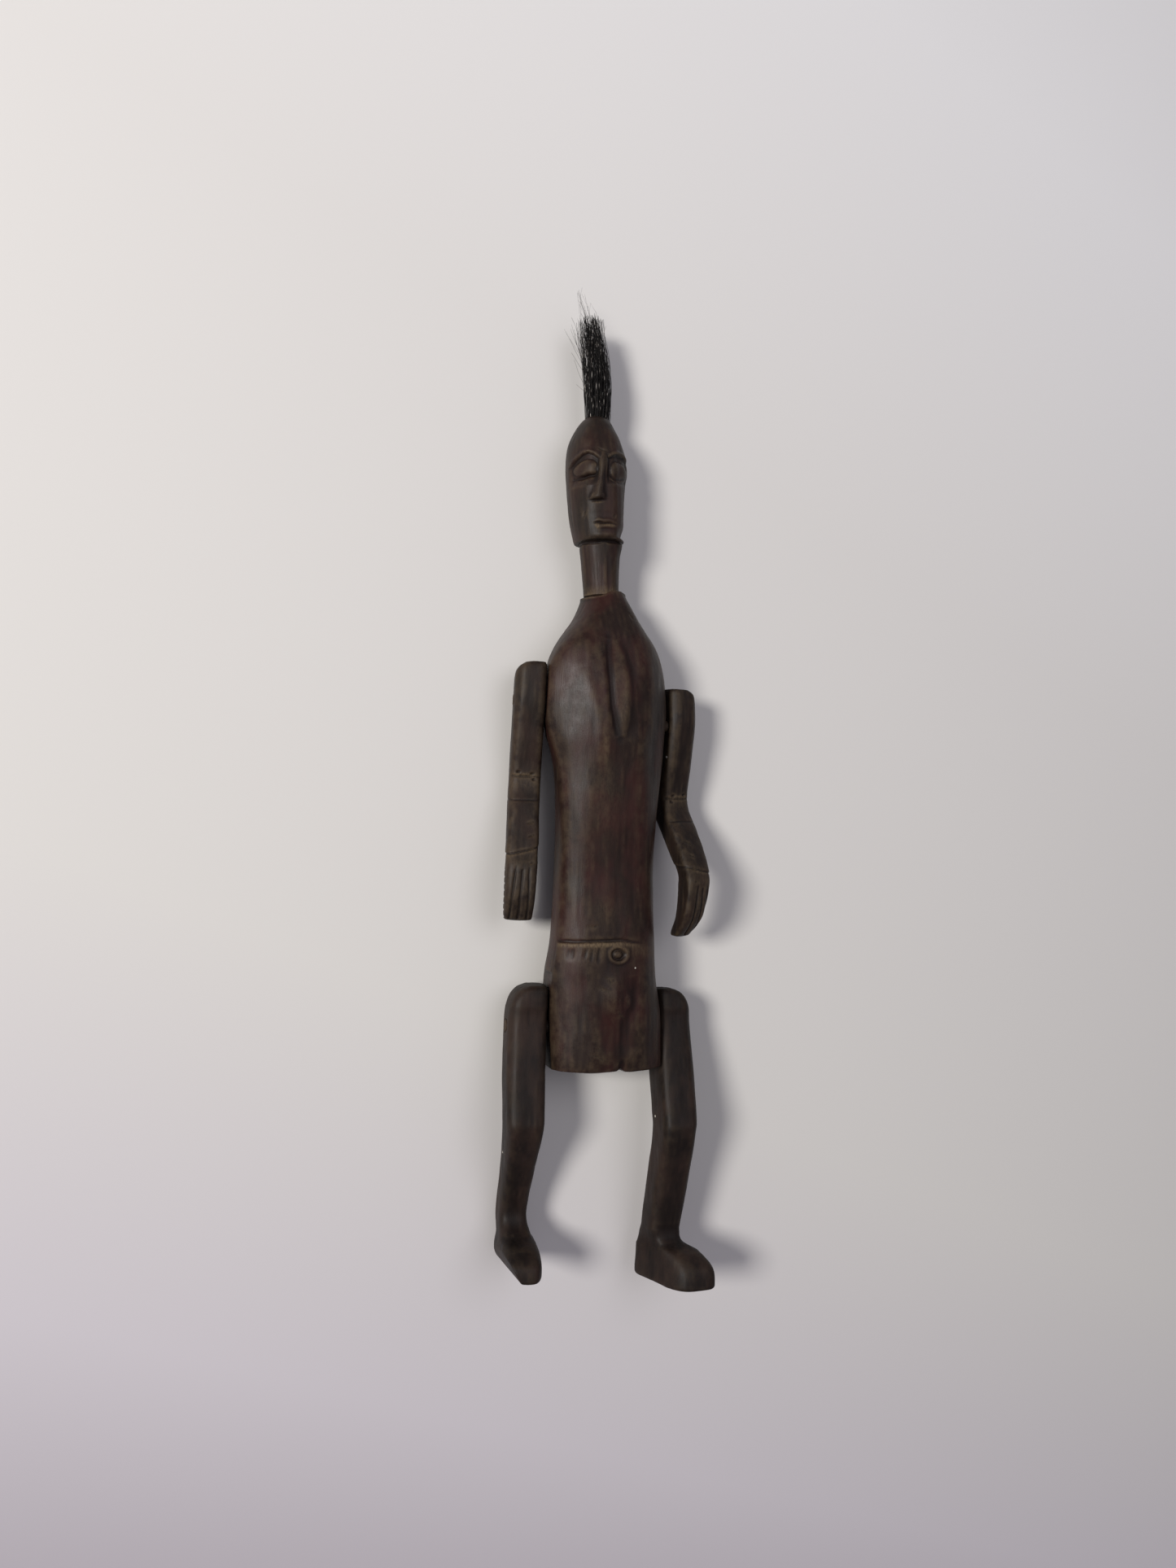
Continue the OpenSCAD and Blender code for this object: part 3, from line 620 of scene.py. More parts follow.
def torso_slips(x, y):
    """Small slips of the blade."""
    slips = strokes(x, y, [(1, 0.35, [(-11.5, 36.2), (-9, 34.6), (-6.4, 34.0)]),
                           (1, 0.3, [(-3.4, 26.2), (0.4, 22.6)]),
                           (1, 0.3, [(-15, 59.6), (-12.6, 59.2), (-10.3, 59.9)]),
                           (1, 0.3, [(1.6, 29.6), (1.9, 27.6)]),
                           (1, 0.3, [(-14, 9.5), (-9, 6.6), (-5, 4.6)]),
                           (1, 0.45, [(-8, 40), (-6, 37.6), (-4.5, 38.4)]),
                           (1, 0.4, [(5.6, 183.0), (7.4, 181.6)])])
    return -0.22 * slips, 0.75 * slips


def shape_collar(grid):
    """Its front stands up over the neck, highest a little to the figure's left, and slopes to the right."""
    across = grid[-1, :, 0]
    in_front = smoothstep(NECK_Z - 2, NECK_Z + 5, grid[-1, :, 2])
    front_lift = np.interp(across, [-10, -7.5, -4.5, -2, 0, 1.5, 4, 7, 9.5],
                           [-0.9, -0.4, 0.7, 2.0, 2.9, 3.2, 2.6, 1.0, 0.0])
    lift = mix(-0.6 * smoothstep(2, -8, across), front_lift, in_front)
    grid[..., 1] += smoothstep(TORSO_LEN - 16, TORSO_LEN, grid[..., 1]) * lift[None, :]


def collar_lip(rim):
    """Rings from the collar's rim, over its lip and down round the neck's hole."""
    hub = np.array([-NECK_SHIFT, 0, NECK_Z])
    out = []
    for reach, drop in ((0.93, 0.15), (0.875, 0.7), (0.86, 2.4), (0.6, 2.6), (0.1, 2.6)):
        inner = hub + (rim - hub) * reach
        inner[:, 1] = rim[:, 1] - drop if drop < 1 else np.minimum(rim[:, 1] - 0.3, TORSO_LEN - 0.1)
        out.append(inner)
    return np.array(out)


def torso_piece():
    grid = rings(curve_through(torso_stations(), 430), 216)
    # straight knife planes along the shoulders, down the sides and under the neck
    for side in (-1, 1):
        grid = cut(grid, (side * 21.2 - 1, 140, 30.5), (side * 0.62, 0.02, 0.78), 0.8, 0.6)
        grid = cut(grid, (side * 16.6 - 2, 95, 27.6), (side * 0.62, 0, 0.78), 0.7, 0.6)
    grid = cut(grid, (0, 178, 30), (0, 0.55, 0.84), 1.0, 0.8)
    x, y = grid[..., 0], grid[..., 1]
    front = smoothstep(0.1, 0.5, normals(grid)[..., 2])
    reliefs = [chest_relief(x, y), belly_relief(x, y, grid), waist_relief(x, y, grid),
               navel_relief(x, y, grid), hip_relief(x, y), torso_slips(x, y)]
    d = sum(relief[0] for relief in reliefs) * front
    tan = sum(relief[1] for relief in reliefs) * front
    # cleft under the seat
    d -= 1.2 * bump(x + 0.4, 1.2) * smoothstep(7, 1, y)
    d += handwork(grid, [(0.28, (16, 26, 16), 0), (0.10, (5, 9, 5), 5.3), (0.045, (1.4, 9, 1.4), 2.7)])
    grid = grid + normals(grid) * d[..., None]
    # the collar's rim is rubbed bare in places
    tan += 0.35 * bump(y - TORSO_LEN + 0.4, 0.7) * (noise(grid, (4, 4, 4)) > 0)
    grid = flank_flats(grid)
    grid[..., 2] = np.maximum(grid[..., 2], 0.0)
    shape_collar(grid)
    # seat: sawn a little askew, higher to the figure's right
    askew = np.interp(grid[..., 0], [-26, -20, -10, -3, 4, 20], [2.4, 2.1, 1.4, 1.1, 0.4, 0.2])
    grid[..., 1] += askew * smoothstep(14, 0, grid[..., 1])
    low = np.array(cap(grid[0], -0.1)[::-1])
    lip = collar_lip(grid[-1])
    grid = np.concatenate([low, grid, lip])
    tan = with_caps(tan, high=len(lip))
    add_mesh("torso_carved", grid, torso_place(), trunk_wood, "trunk", "torso", tan)


# ---- head ----
def head_grid():
    j, h = JAW_Y, HEAD_LEN
    neck = [[NECK_GAP, 0, 0, NECK_W * 0.46, NECK_W * 0.47, 0.94, 0],
            [NECK_GAP + NECK_LEN * 0.4, 0, 0, NECK_W * 0.48, NECK_W * 0.49, 0.94, 0],
            [j - 1.2, 0, 0.3, NECK_W * 0.535, NECK_W * 0.54, 0.94, 0],
            [j - 0.2, 0, 0.3, NECK_W * 0.545, NECK_W * 0.55, 0.94, 0]]
    skull = [[j, -0.7, HEAD_Z + 0.5, HEAD_W * 0.375, HEAD_D * 0.36, 0.9, 0],
             [j + 1.2, -0.8, HEAD_Z + 0.4, HEAD_W * 0.405, HEAD_D * 0.43, 0.9, 0],
             [j + h * 0.2, -1.2, HEAD_Z, HEAD_W * 0.443, HEAD_D * 0.47, 0.88, 0.02],
             [j + h * 0.42, -1.1, HEAD_Z, HEAD_W * 0.475, HEAD_D * 0.49, 0.88, 0.02],
             [j + h * 0.62, -0.8, HEAD_Z, HEAD_W * 0.49, HEAD_D * 0.5, 0.9, 0],
             [j + h * 0.78, -0.9, HEAD_Z - 0.2, HEAD_W * 0.438, HEAD_D * 0.46, 0.95, 0],
             [j + h * 0.9, -0.6, HEAD_Z - 0.5, HEAD_W * 0.325, HEAD_D * 0.36, 1, 0],
             [j + h * 0.97, 0, HEAD_Z - 0.8, HEAD_W * 0.235, HEAD_D * 0.25, 1, 0],
             [CROWN_Y, 0, HEAD_Z - 1, HEAD_W * 0.15, HEAD_D * 0.16, 1, 0]]
    around = 250
    return np.concatenate([rings(curve_through(neck, 90), around), rings(curve_through(skull, 250), around)])


def head_planes(grid):
    """Knife planes: cheeks, temples and the blunt front of the face."""
    for side, turn in ((-1, 0.78), (1, 0.84)):
        grid = cut(grid, (side * 8.2 - 1, 0, HEAD_Z + 9.6), (side * turn, 0.0, 1 - turn / 2.4), 0.4, 0.75)
        grid = cut(grid, (side * 9 - 0.7, JAW_Y + 45, HEAD_Z + 6), (side * 0.62, 0.62, 0.45), 0.5, 0.6)
    return cut(grid, (0, JAW_Y + 42, HEAD_Z + 10.4), (0, 0.42, 0.9), 0.6, 0.8)


# On the head, h is the height over the jaw.
def eyes_relief(x, h):
    """Hollows under the brow arcs, a domed right lid over a deep slit, and a plainer left one."""
    brow_r = [(-12.6, 29.5), (-11.2, 31.6), (-8.8, 33.6), (-6.6, 34.1), (-4.4, 33.1), (-2.6, 31.4)]
    brow_l = [(1.5, 31.6), (3.6, 32.8), (6.2, 33.6), (9.2, 33.4), (11.6, 31.6)]
    brow_line = np.interp(x, [-13, -11.2, -8.8, -6.6, -4.4, -2.4, -0.5, 1.5, 3.6, 6.2, 9.2, 12],
                          [29.0, 31.6, 33.6, 34.1, 33.1, 31.4, 36, 31.6, 32.8, 33.6, 33.4, 31.5])
    under = smoothstep(0.35, -0.5, h - brow_line) * smoothstep(20.5, 24.5, h)
    off_nose = smoothstep(1.0, 2.6, np.abs(x + 0.6 + 0.06 * (31 - h)))
    lid_r = np.clip(1 - ((x + 7.5) / 4.7) ** 2 - ((h - 27.6) / 3.6) ** 2, 0, 1)
    lid_l = np.clip(1 - ((x - 6.9) / 4.4) ** 2 - ((h - 26.6) / 4.2) ** 2, 0, 1)
    d = 1.05 * np.sqrt(lid_r) * smoothstep(24.9, 25.6, h) + 1.25 * np.sqrt(lid_l) - 1.15 * under * off_nose
    d += strokes(x, h - 0.6, [(0.35, 0.8, brow_r), (0.35, 0.8, brow_l)])
    slit = [(-12.0, 24.3), (-9.8, 24.2), (-7.4, 24.9), (-5.2, 24.7), (-3.7, 25.1)]
    d += strokes(x, h, [(-1.15, 0.75, slit),
                        (-0.55, 0.6, [(2.4, 24.6), (4.6, 23.2), (7.2, 23.4), (9.4, 24.6)]),
                        (-0.45, 0.4, [(2.4, 22.6), (4.4, 21.7)])])
    tan = 0.5 * (stroke(x, h - 0.3, brow_r, 0.35) * (x > -8.2) + stroke(x, h - 0.3, brow_l, 0.35))
    tan += strokes(x, h, [(0.35, 0.4, [(-11.2, 28.0), (-9.6, 30.5), (-7.2, 31.0)]),
                          (0.45, 0.35, [(2.0, 23.6), (4.6, 22.6)])])
    for share, at, size in ((0.45, (-4.6, 28.4), 1.2), (0.2, (-6, 26.3), 0.8), (0.3, (5.2, 28.2), 1.4)):
        tan += share * spot(x, h, at, size, size)
    return d, tan


def nose_relief(x, h):
    """A narrow ridge that leans to the figure's right, cut square under the tip."""
    lean = np.interp(h, [15, 32], [-3.5, -0.9])
    width = np.interp(h, [15, 17.5, 22, 32], [2.1, 1.7, 1.3, 1.1])
    rise = np.interp(h, [14.9, 15.7, 17.2, 24, 31, 35], [0, 2.4, 2.3, 1.5, 0.8, 0])
    d = rise * bump((x - lean) / width, 1.05)
    for side in (-1, 1):
        d += 0.35 * spot(x, h, (lean + 1.9 * side, 16.6), 1.0, 1.0)
    d -= 0.45 * stroke(x, h, [(-5.8, 14.7), (-3.6, 14.6), (-1.4, 14.7)], 0.45)
    # The pale stroke under the tip and the one up the nose's side towards the light are painted highlights.
    return d, strokes(x, h, [(0.5, 0.35, [(-6.0, 14.2), (-3.6, 14.0), (-1.0, 14.1)]),
                             (0.3, 0.35, [(-5.6, 15.6), (-5.0, 18.5), (-4.4, 22)])])


def mouth_relief(x, h):
    """Thin worn lips, parted, the lower one broken, and a small chin."""
    upper = [(-5.0, 6.4), (-3.4, 7.2), (-1.4, 6.7), (0.8, 7.0), (3.6, 6.2)]
    parting = [(-5.0, 6.0), (-3.2, 6.2), (-1.0, 5.6), (1.4, 5.8), (3.8, 5.4)]
    lower = [(-4.2, 5.1), (-3.0, 4.6), (-0.6, 4.8), (2.0, 4.7), (3.8, 4.9)]
    d = strokes(x, h, [(0.4, 0.8, upper), (0.5, 0.85, lower), (-0.75, 0.42, parting)])
    d += 0.5 * spot(x, h, (-0.8, 1.4), 4.42, 1.3) - 0.12 * spot(x, h, (-0.8, 9.6), 6.5, 1.3)
    return d, strokes(x, h, [(0.9, 0.7, [(-4.8, 5.6), (-3.6, 4.6), (-3.4, 3.0)]),
                             (0.9, 0.6, [(-1.6, 5.2), (1.0, 5.1), (3.8, 5.1)]),
                             (0.22, 0.3, [(-4.4, 6.9), (-2.6, 7.3), (-0.6, 7.0)])])


def face_slips(x, h):
    """Slips of the chisel on the forehead and beside the mouth."""
    slips = strokes(x, h, [(1, 0.35, [(-2.6, 35.6), (-0.6, 34.6), (0.6, 34.2)]),
                           (1, 0.3, [(1.2, 33.0), (2.2, 31.6)]),
                           (1, 0.35, [(3.8, 9.4), (3.2, 8.2)]),
                           (1, 0.3, [(-9.0, 8.6), (-8.4, 10.6)])])
    return -0.3 * slips, 0.5 * slips


def neck_tenon(ring):
    """The round tenon that grows out of the neck's foot, from its far end up."""
    foot = ring.mean(0)
    a = np.arctan2(ring[:, 2] - foot[2], ring[:, 0] - foot[0])
    half = TENON_D / 2
    out = []
    for level, r in ((-TENON_LEN, 0.6), (-TENON_LEN, half - 0.5), (-TENON_LEN + 0.5, half), (-12.0, half),
                     (-6.0, half), (-0.01, half)):
        out.append(np.stack([r * np.cos(a), np.full(len(a), level), r * np.sin(a)], 1))
    return np.array(out)


def head_piece():
    grid = head_grid()
    x, y = grid[..., 0], grid[..., 1]
    h = y - JAW_Y
    is_head = smoothstep(0.0, 1.0, h)
    grid = np.where((h > 0)[..., None], head_planes(grid), grid)
    n = normals(grid)
    facing = n[..., 2]
    front = smoothstep(0.05, 0.45, facing) * is_head
    reliefs = [eyes_relief(x, h), nose_relief(x, h), mouth_relief(x, h), face_slips(x, h)]
    d = sum(relief[0] for relief in reliefs) * front
    tan = sum(relief[1] for relief in reliefs) * front
    # the left brow and cheekbone swell out at the side of the head
    d += 0.9 * bump(h - 28.6, 5.6) * smoothstep(7.0, 10.0, x) * smoothstep(-0.5, 0.1, facing)
    # undercut of the jaw, ragged at its middle and blended into the neck at the left
    neck = smoothstep(-0.2, -1.2, h) * smoothstep(-5.5, -1.0, h)
    d -= 0.55 * neck * smoothstep(-1.4, -0.4, h + 0.4 * noise(grid, (3, 3, 3)))
    at_left = smoothstep(3.5, 7.5, x) * smoothstep(-0.6, 0.2, facing)
    d -= 1.3 * smoothstep(6.5, 0.2, h) * is_head * at_left
    d += 0.75 * smoothstep(-7, -0.3, h) * (1 - is_head) * at_left
    # the neck's flutes, its pale stripes and its rubbed foot
    flutes = noise(grid, (1.5, 30, 1.5), 1.9)
    d += 0.16 * flutes * smoothstep(0.5, -1.5, h) + 0.07 * flutes * is_head
    d += handwork(grid, [(0.14, (7, 10, 7), 0), (0.04, (2.2, 4, 2.2), 4.4)])
    tan += 0.20 * smoothstep(0.15, 0.5, flutes) * smoothstep(0.0, -2.0, h) * smoothstep(-0.2, 0.4, facing)
    tan += 0.4 * smoothstep(4.6, 1.2, y - NECK_GAP) * smoothstep(0.0, 0.6, facing)
    tan += 0.3 * smoothstep(1.6, 0.2, y - NECK_GAP) * (noise(grid, (2, 3, 2), 6.0) > -0.1)
    grid = grid + n * d[..., None]
    tenon = neck_tenon(cap(grid[0], 0.0)[-1])
    crown = np.array(cap(grid[-1], -0.2))
    grid = np.concatenate([tenon, grid, crown])
    tan = with_caps(tan, low=len(tenon))
    add_mesh("head_carved", grid, neck_place(HEAD_TURN), head_wood, "head_unit", "head", tan)


# ---- limbs ----
def limb_rings(stations, count, sides, slope, low, high):
    """A limb's rings and its path. slope leans them outwards from their middles, fully below low and
    not at all above high. A station is [y, z middle, half depth, inner face, outer face, squareness]."""
    full = [[s[0], (s[3] + s[4]) / 2, s[1], (s[4] - s[3]) / 2, s[2], s[5], 0] for s in stations]
    path = curve_through(full, count)
    grid = rings(path, sides)
    share = np.clip((high - path[:, 0]) / (high - low), 0, 1)
    grid[..., 0] += slope * share[:, None] * (grid[..., 2] - path[:, 2][:, None])
    return grid, path


def arm_stations(a):
    back = -ELBOW_Y * 0.15
    drop = ARM_LEN - ARM_TOP
    o, t, reach, curl, thin = a["gap"], a["thick"], a["reach"], a["curl"], a["thin"]
    return [
        [-drop, reach + back - 3.2 - curl, 2.6, o + 1.6, o + HAND_W - 1 - thin, 0.6],
        [-drop + 1.5, reach + back - 2.6 - curl * 0.9, 4, o + 1, o + HAND_W - 0.4 - thin * 0.9, 0.56],
        [-drop + 9, reach + back - 0.8 - curl * 0.4, 5.4, o + 0.5, o + HAND_W - thin * 0.4, 0.54],
        [-drop + 20, reach + back - 1, 5.8, o + 0.2, o + HAND_W, 0.52],
        [-drop + 27, reach * 0.78 + back + a["wrist"], 5.4, o, o + HAND_W, 0.5],
        [-ELBOW_Y - 13, reach * 0.34 + back + a["fore"], 6, o, o + mix(HAND_W, t, 0.6), 0.5],
        [-ELBOW_Y, back, ARM_D * 0.46, o, o + t - 0.1, 0.48],
        [-ELBOW_Y * 0.45, back * 0.5, ARM_D * 0.49, o, o + t, 0.46],
        [0, 0, ARM_D * 0.5, o, o + t, 0.46],
        [ARM_TOP - 6, 0, ARM_D * 0.5, o, o + t, 0.46],
        [ARM_TOP - 1.8, 0, ARM_D * 0.47, o, o + t - 0.9, 0.5],
        [ARM_TOP, 0, ARM_D * 0.4, o + 0.6, o + t - 3, 0.56]]


def peg_mouth(y, z, n):
    """The worn mouth of a peg's hole, on the inner and outer faces."""
    r = np.hypot(y, z)
    return -0.45 * smoothstep(PEG_D / 2 + 0.55, PEG_D / 2 + 0.05, r) * np.abs(n[..., 0])


def facing(n):
    """How squarely each point of a limb faces outwards, forward, and the greater of the two."""
    outward = smoothstep(0.3, 0.8, n[..., 0])
    forward = smoothstep(0.25, 0.75, n[..., 2])
    return outward, forward, np.maximum(forward, outward)


def elbow_relief(x, y, grid, n, mid, shift):
    """A rubbed crease right across the front, with nicks, and a faint ring below it."""
    _, forward, both = facing(n)
    crease = y + ELBOW_Y - 1.5 + 0.3 * noise(grid, (4, 4, 4), 2.0 + shift)
    d = -0.4 * bump(crease, 0.5) * forward - 0.15 * bump(crease + 9.5, 0.35) * both
    for nick_x, nick_y in ((mid + 3.1, 1.6), (mid - 2.6, 1.1), (mid - 3.4, -1.2)):
        d -= 0.8 * bump(np.hypot((x - nick_x) * 0.7, crease - nick_y), 0.5) * forward
    return d, (0.5 * bump(crease - 0.4, 0.9) + 0.22 * bump(crease + 2, 3.4)) * forward


def wrist_relief(x, y, grid, n, mid, tip, shift):
    """A step down to the hand."""
    both = facing(n)[2]
    wrist = y - tip - 27.5 + 0.25 * (x - mid) + 0.4 * noise(grid, (4, 4, 4), 4.0 + shift)
    d = -0.25 * smoothstep(0.6, -0.2, wrist) * smoothstep(-8, -2, wrist) - 0.25 * bump(wrist, 0.4) * both
    return d, (0.35 * bump(wrist + 0.6, 0.6) + 0.16 * bump(wrist + 4, 4.5)) * both


def finger_relief(x, y, ahead, n, mid, tip):
    """Grooves between the fingers, knuckle notches, and slips of the blade up the forearm. ahead is
    how far each point lies in front of the arm's middle."""
    outward, forward, _ = facing(n)
    d = 0
    tan = 0
    for across, top in ((-3.1, 22), (0.1, 20), (3.2, 22)):
        groove = [(mid + across * 0.8, tip + top), (mid + across * 1.05 + 0.4, tip + 10),
                  (mid + across * 1.1 + 0.7, tip + 0.3)]
        d -= 0.6 * stroke(x, y, groove, 0.5, False) * forward * smoothstep(tip + 23, tip + 18, y)
        tan += 0.18 * stroke(x, y, groove, 0.6) * forward
    fingers = smoothstep(tip + 22, tip + 17, y)
    for at in (-2.2, 1.6):
        d -= 0.5 * bump(ahead - at - 3.2 - 0.06 * (y - tip), 0.5) * outward * fingers
    notches = np.maximum(0, np.sin(y * 2.4)) ** 3
    d -= 0.3 * notches * smoothstep(0.55, 0.9, n[..., 0]) * bump(ahead + 1.5, 3.0) * fingers
    for k in range(4):
        level = -ELBOW_Y - 16 - 5.2 * k
        slip = stroke(x, y, [(mid - 4.2, level), (mid - 1.2 - 0.4 * k, level - 1.0)], 0.35) * forward
        d -= 0.3 * slip
        tan += 0.6 * slip
    return d, tan


def arm_piece(name, side):
    a = ARM_LEFT if side > 0 else ARM_RIGHT
    shift = 11.3 if side > 0 else 0.0
    tip = ARM_TOP - ARM_LEN
    grid, path = limb_rings(arm_stations(a), 330, 130, a["skew"], tip + 20, tip + 32)
    mid = a["gap"] + a["thick"] / 2
    x, y, z = (grid[..., k].copy() for k in range(3))
    lag = np.interp(y, path[:, 0], path[:, 2])
    n = normals(grid)
    reliefs = [elbow_relief(x, y, grid, n, mid, shift), wrist_relief(x, y, grid, n, mid, tip, shift),
               finger_relief(x, y, z - lag, n, mid, tip)]
    d = sum(relief[0] for relief in reliefs) + peg_mouth(y, z, n)
    tan = sum(relief[1] for relief in reliefs)
    d += handwork(grid, [(0.20, (7, 16, 7), shift), (0.08, (3, 6, 3), 3.3 + shift),
                         (0.05, (1.2, 12, 1.2), 7.7 + shift)])
    grid = grid + n * d[..., None]
    # knife planes taken off the long corners
    for cx, cz, at in ((1, 1, 5.3), (-1, 1, 5.6), (1, -1, 5.5)):
        grid[..., 2] -= lag
        grid = cut(grid, (mid + cx * at * 0.92, 0, cz * at), (cx, 0.03 * cz, cz), 0.35, 0.8)
        grid[..., 2] += lag
    # the outer corner of the shoulder is rounded off
    run, fall = (3.4, 1.0) if side > 0 else (1.7, 1.5)
    grid = cut(grid, (a["gap"] + a["thick"] - run, ARM_TOP - fall, 0), (0.58, 0.81, 0.0), 0.8, 0.9)
    grid[..., 0] = np.maximum(grid[..., 0], a["gap"])
    place = limb_place(name.replace("arm", "shoulder"), side, 0)
    add_mesh(name + "_carved", closed(grid, -0.5, 0.5), place, limb_wood, name + "_unit", name,
             with_caps(tan))


def leg_stations(g):
    o = SIDE_GAP
    drop = g["length"] - LEG_TOP
    knee, f_len, f_h = g["knee"], g["foot_len"], g["foot_h"]
    knee_z, ankle_z = knee * KNEE_BOW, -drop * g["heel"]
    ankle_y = -drop + f_h + g["rise"]
    heel = heel_z(g)
    inner, outer = o - g["foot_in"], o + g["foot_w"] - g["foot_in"]
    instep_in, instep_out = o - g["foot_in"] * 0.6, mix(outer, o + ANKLE_T, 0.4)
    return [
        [-drop, heel + f_len * 0.5, f_len * 0.485, inner + 0.5, outer - 0.5, 0.5],
        [-drop + 1.5, heel + f_len * 0.5, f_len * 0.5, inner, outer, 0.48],
        [-drop + f_h * 0.5, heel + f_len * 0.48, f_len * 0.48, inner, outer, 0.5],
        [-drop + f_h * 0.8, heel + f_len * 0.40, f_len * 0.4, instep_in, instep_out, 0.54],
        [-drop + f_h, heel + f_len * 0.285, f_len * 0.285, o + 0.2, o + ANKLE_T + 0.8, 0.56],
        [ankle_y, ankle_z, ANKLE_D * 0.49, o + 0.9 + g["ankle_in"], o + ANKLE_T + 0.9 + g["ankle_out"], 0.5],
        [mix(ankle_y, -knee, 0.5), mix(ankle_z, knee_z, 0.45), ANKLE_D * 0.52, o + 0.5 + g["shin_in"],
         o + mix(ANKLE_T, THIGH_T, 0.6) + g["shin_out"], 0.48],
        [-knee - 4, knee_z * 0.9, THIGH_D * 0.5, o + 0.2, o + THIGH_T - 0.6, 0.46],
        [-knee + 6, knee_z * 0.85, THIGH_D * 0.5, o, o + THIGH_T, 0.46],
        [0, 0, THIGH_D * 0.5, o, o + THIGH_T, 0.46],
        [LEG_TOP - 7, 0, THIGH_D * 0.49, o, o + THIGH_T - 0.8, 0.48],
        [LEG_TOP - 2, 0, THIGH_D * 0.44, o, o + THIGH_T - 3.5, 0.54],
        [LEG_TOP, 0, THIGH_D * 0.36, o + 0.6, o + THIGH_T - 7, 0.6]]


def heel_z(g):
    """Where the back of the heel lies."""
    return (LEG_TOP - g["length"]) * g["heel"] - ANKLE_D / 2 - 0.5


def foot_planes(grid, g, sole, side):
    """A sloping instep, a blunt toe and one bevelled edge on the outer side."""
    heel = heel_z(g)
    toe = heel + g["foot_len"]
    outer = SIDE_GAP + g["foot_w"] - g["foot_in"] + g["skew"] * g["foot_len"] * 0.35
    instep = sole + g["foot_h"] * 0.7
    grid = cut(grid, (0, instep, toe - 1.2), (0, 0.80, 0.60), 0.7, 0.8)
    if side < 0:
        return cut(grid, (outer - 0.5, sole + 5.5, heel + 8), (0.86, -0.50, 0.10), 0.4, 0.9)
    return cut(grid, (outer - 1.2, instep, toe - 8), (0.72, 0.62, 0.25), 0.6, 0.7)


def leg_piece(name, side):
    g = LEG_LEFT if side > 0 else LEG_RIGHT
    shift = 5.7 if side > 0 else 17.0
    sole = LEG_TOP - g["length"]
    ankle = sole + g["foot_h"]
    mid = SIDE_GAP + THIGH_T / 2
    grid, path = limb_rings(leg_stations(g), 360, 150, g["skew"], ankle - 2.5, ankle + 5)
    x, y, z = (grid[..., k].copy() for k in range(3))
    lag = np.interp(y, path[:, 0], path[:, 2])
    n = normals(grid)
    shin = [(mid + 4.2, -g["knee"] + 2), (mid + 5.2, -g["knee"] - 12), (mid + 4.6, -g["knee"] - 26)]
    d = 0.25 * stroke(x, y, shin, 1.6) * facing(n)[1] + peg_mouth(y, z, n)
    d += handwork(grid, [(0.26, (8, 18, 8), shift), (0.10, (3, 7, 3), 3.3 + shift),
                         (0.05, (1.2, 12, 1.2), 7.7 + shift)])
    grid = grid + n * d[..., None]
    # knife planes on the long corners, above the ankle
    leg_only = smoothstep(ankle + 2, ankle + 8, y)
    width = np.interp(y, [ankle + 6, -g["knee"]], [0.78, 1.0])
    centre = mid - (1 - width) * 6
    for cx, cz, at in ((1, 1, 6.6), (-1, 1, 6.9), (1, -1, 6.9)):
        local = grid.copy()
        local[..., 2] -= lag
        local[..., 0] = (local[..., 0] - centre) / width
        local = cut(local, (cx * at, 0, cz * at), (cx, 0.02 * cz, cz), 0.4, 0.8)
        local[..., 0] = local[..., 0] * width + centre
        local[..., 2] += lag
        grid = mix(grid, local, (leg_only * smoothstep(LEG_TOP, LEG_TOP - 16, y))[..., None])
    grid = mix(grid, foot_planes(grid, g, sole, side), (1 - leg_only)[..., None])
    flush = np.maximum(grid[..., 0], SIDE_GAP + np.minimum(g["ankle_in"], 0))
    grid[..., 0] = np.where(y > ankle + 8, flush, grid[..., 0])
    grid[..., 1] = np.maximum(grid[..., 1], sole)
    # the sole dips towards the toe
    toeward = smoothstep(heel_z(g) + 6, heel_z(g) + g["foot_len"] - 6, grid[..., 2])
    grid[..., 1] -= g["dip"] * toeward * smoothstep(g["foot_h"], 0, grid[..., 1] - sole)
    place = limb_place(name.replace("leg", "hip"), side, g["swing"])
    add_mesh(name + "_carved", closed(grid, 0.0, 0.5), place, shaded_leg_wood, name + "_unit", name)


# ---- pegs ----
def peg_piece(joint, side, reach, swing):
    """A whittled peg: a round shaft, with knife facets and a ragged end where it stands proud."""
    end = reach + PEG_OUT
    outline = ((-PEG_IN, 0.42, 1), (-PEG_IN + 0.8, 0.5, 1), (reach - 0.3, 0.5, 1), (end - 0.35, 0.49, 0.97),
               (end, 0.4, 0.95))
    stations = np.array([[y, 0, 0, PEG_D * share, PEG_D * share, square, 0] for y, share, square in outline])
    levels = np.concatenate([np.linspace(-PEG_IN, reach - 0.8, 50), np.linspace(reach - 0.7, end, 26)])
    grid = rings(np.stack([np.interp(levels, stations[:, 0], stations[:, k]) for k in range(7)], 1), 56)
    shift = side * 3.0 + end
    proud = smoothstep(reach - 0.4, reach + 0.1, grid[..., 1])
    facet_reach = 2.28
    for k in range(5):
        a = 1.3 * k + shift
        at = (facet_reach * math.cos(a), end - 0.2, facet_reach * math.sin(a))
        grid = mix(grid, cut(grid, at, (math.cos(a), 0.25, math.sin(a)), 0.08), proud[..., None])
    grid = closed(grid, 0, 0.05)
    grid[-6:, :, 1] -= 0.16 * np.abs(noise(grid[-6:], (1.1, 1, 1.1), shift))
    # the shaft's y becomes the peg's x
    grid = grid[..., [1, 0, 2]]
    tan = np.zeros(grid.shape[:2])
    tan[-8:] = 0.35
    name = joint + "_peg"
    place = limb_place(joint, side, swing)
    add_mesh(name + "_whittled", grid, place, peg_wood, "trunk", name, tan)


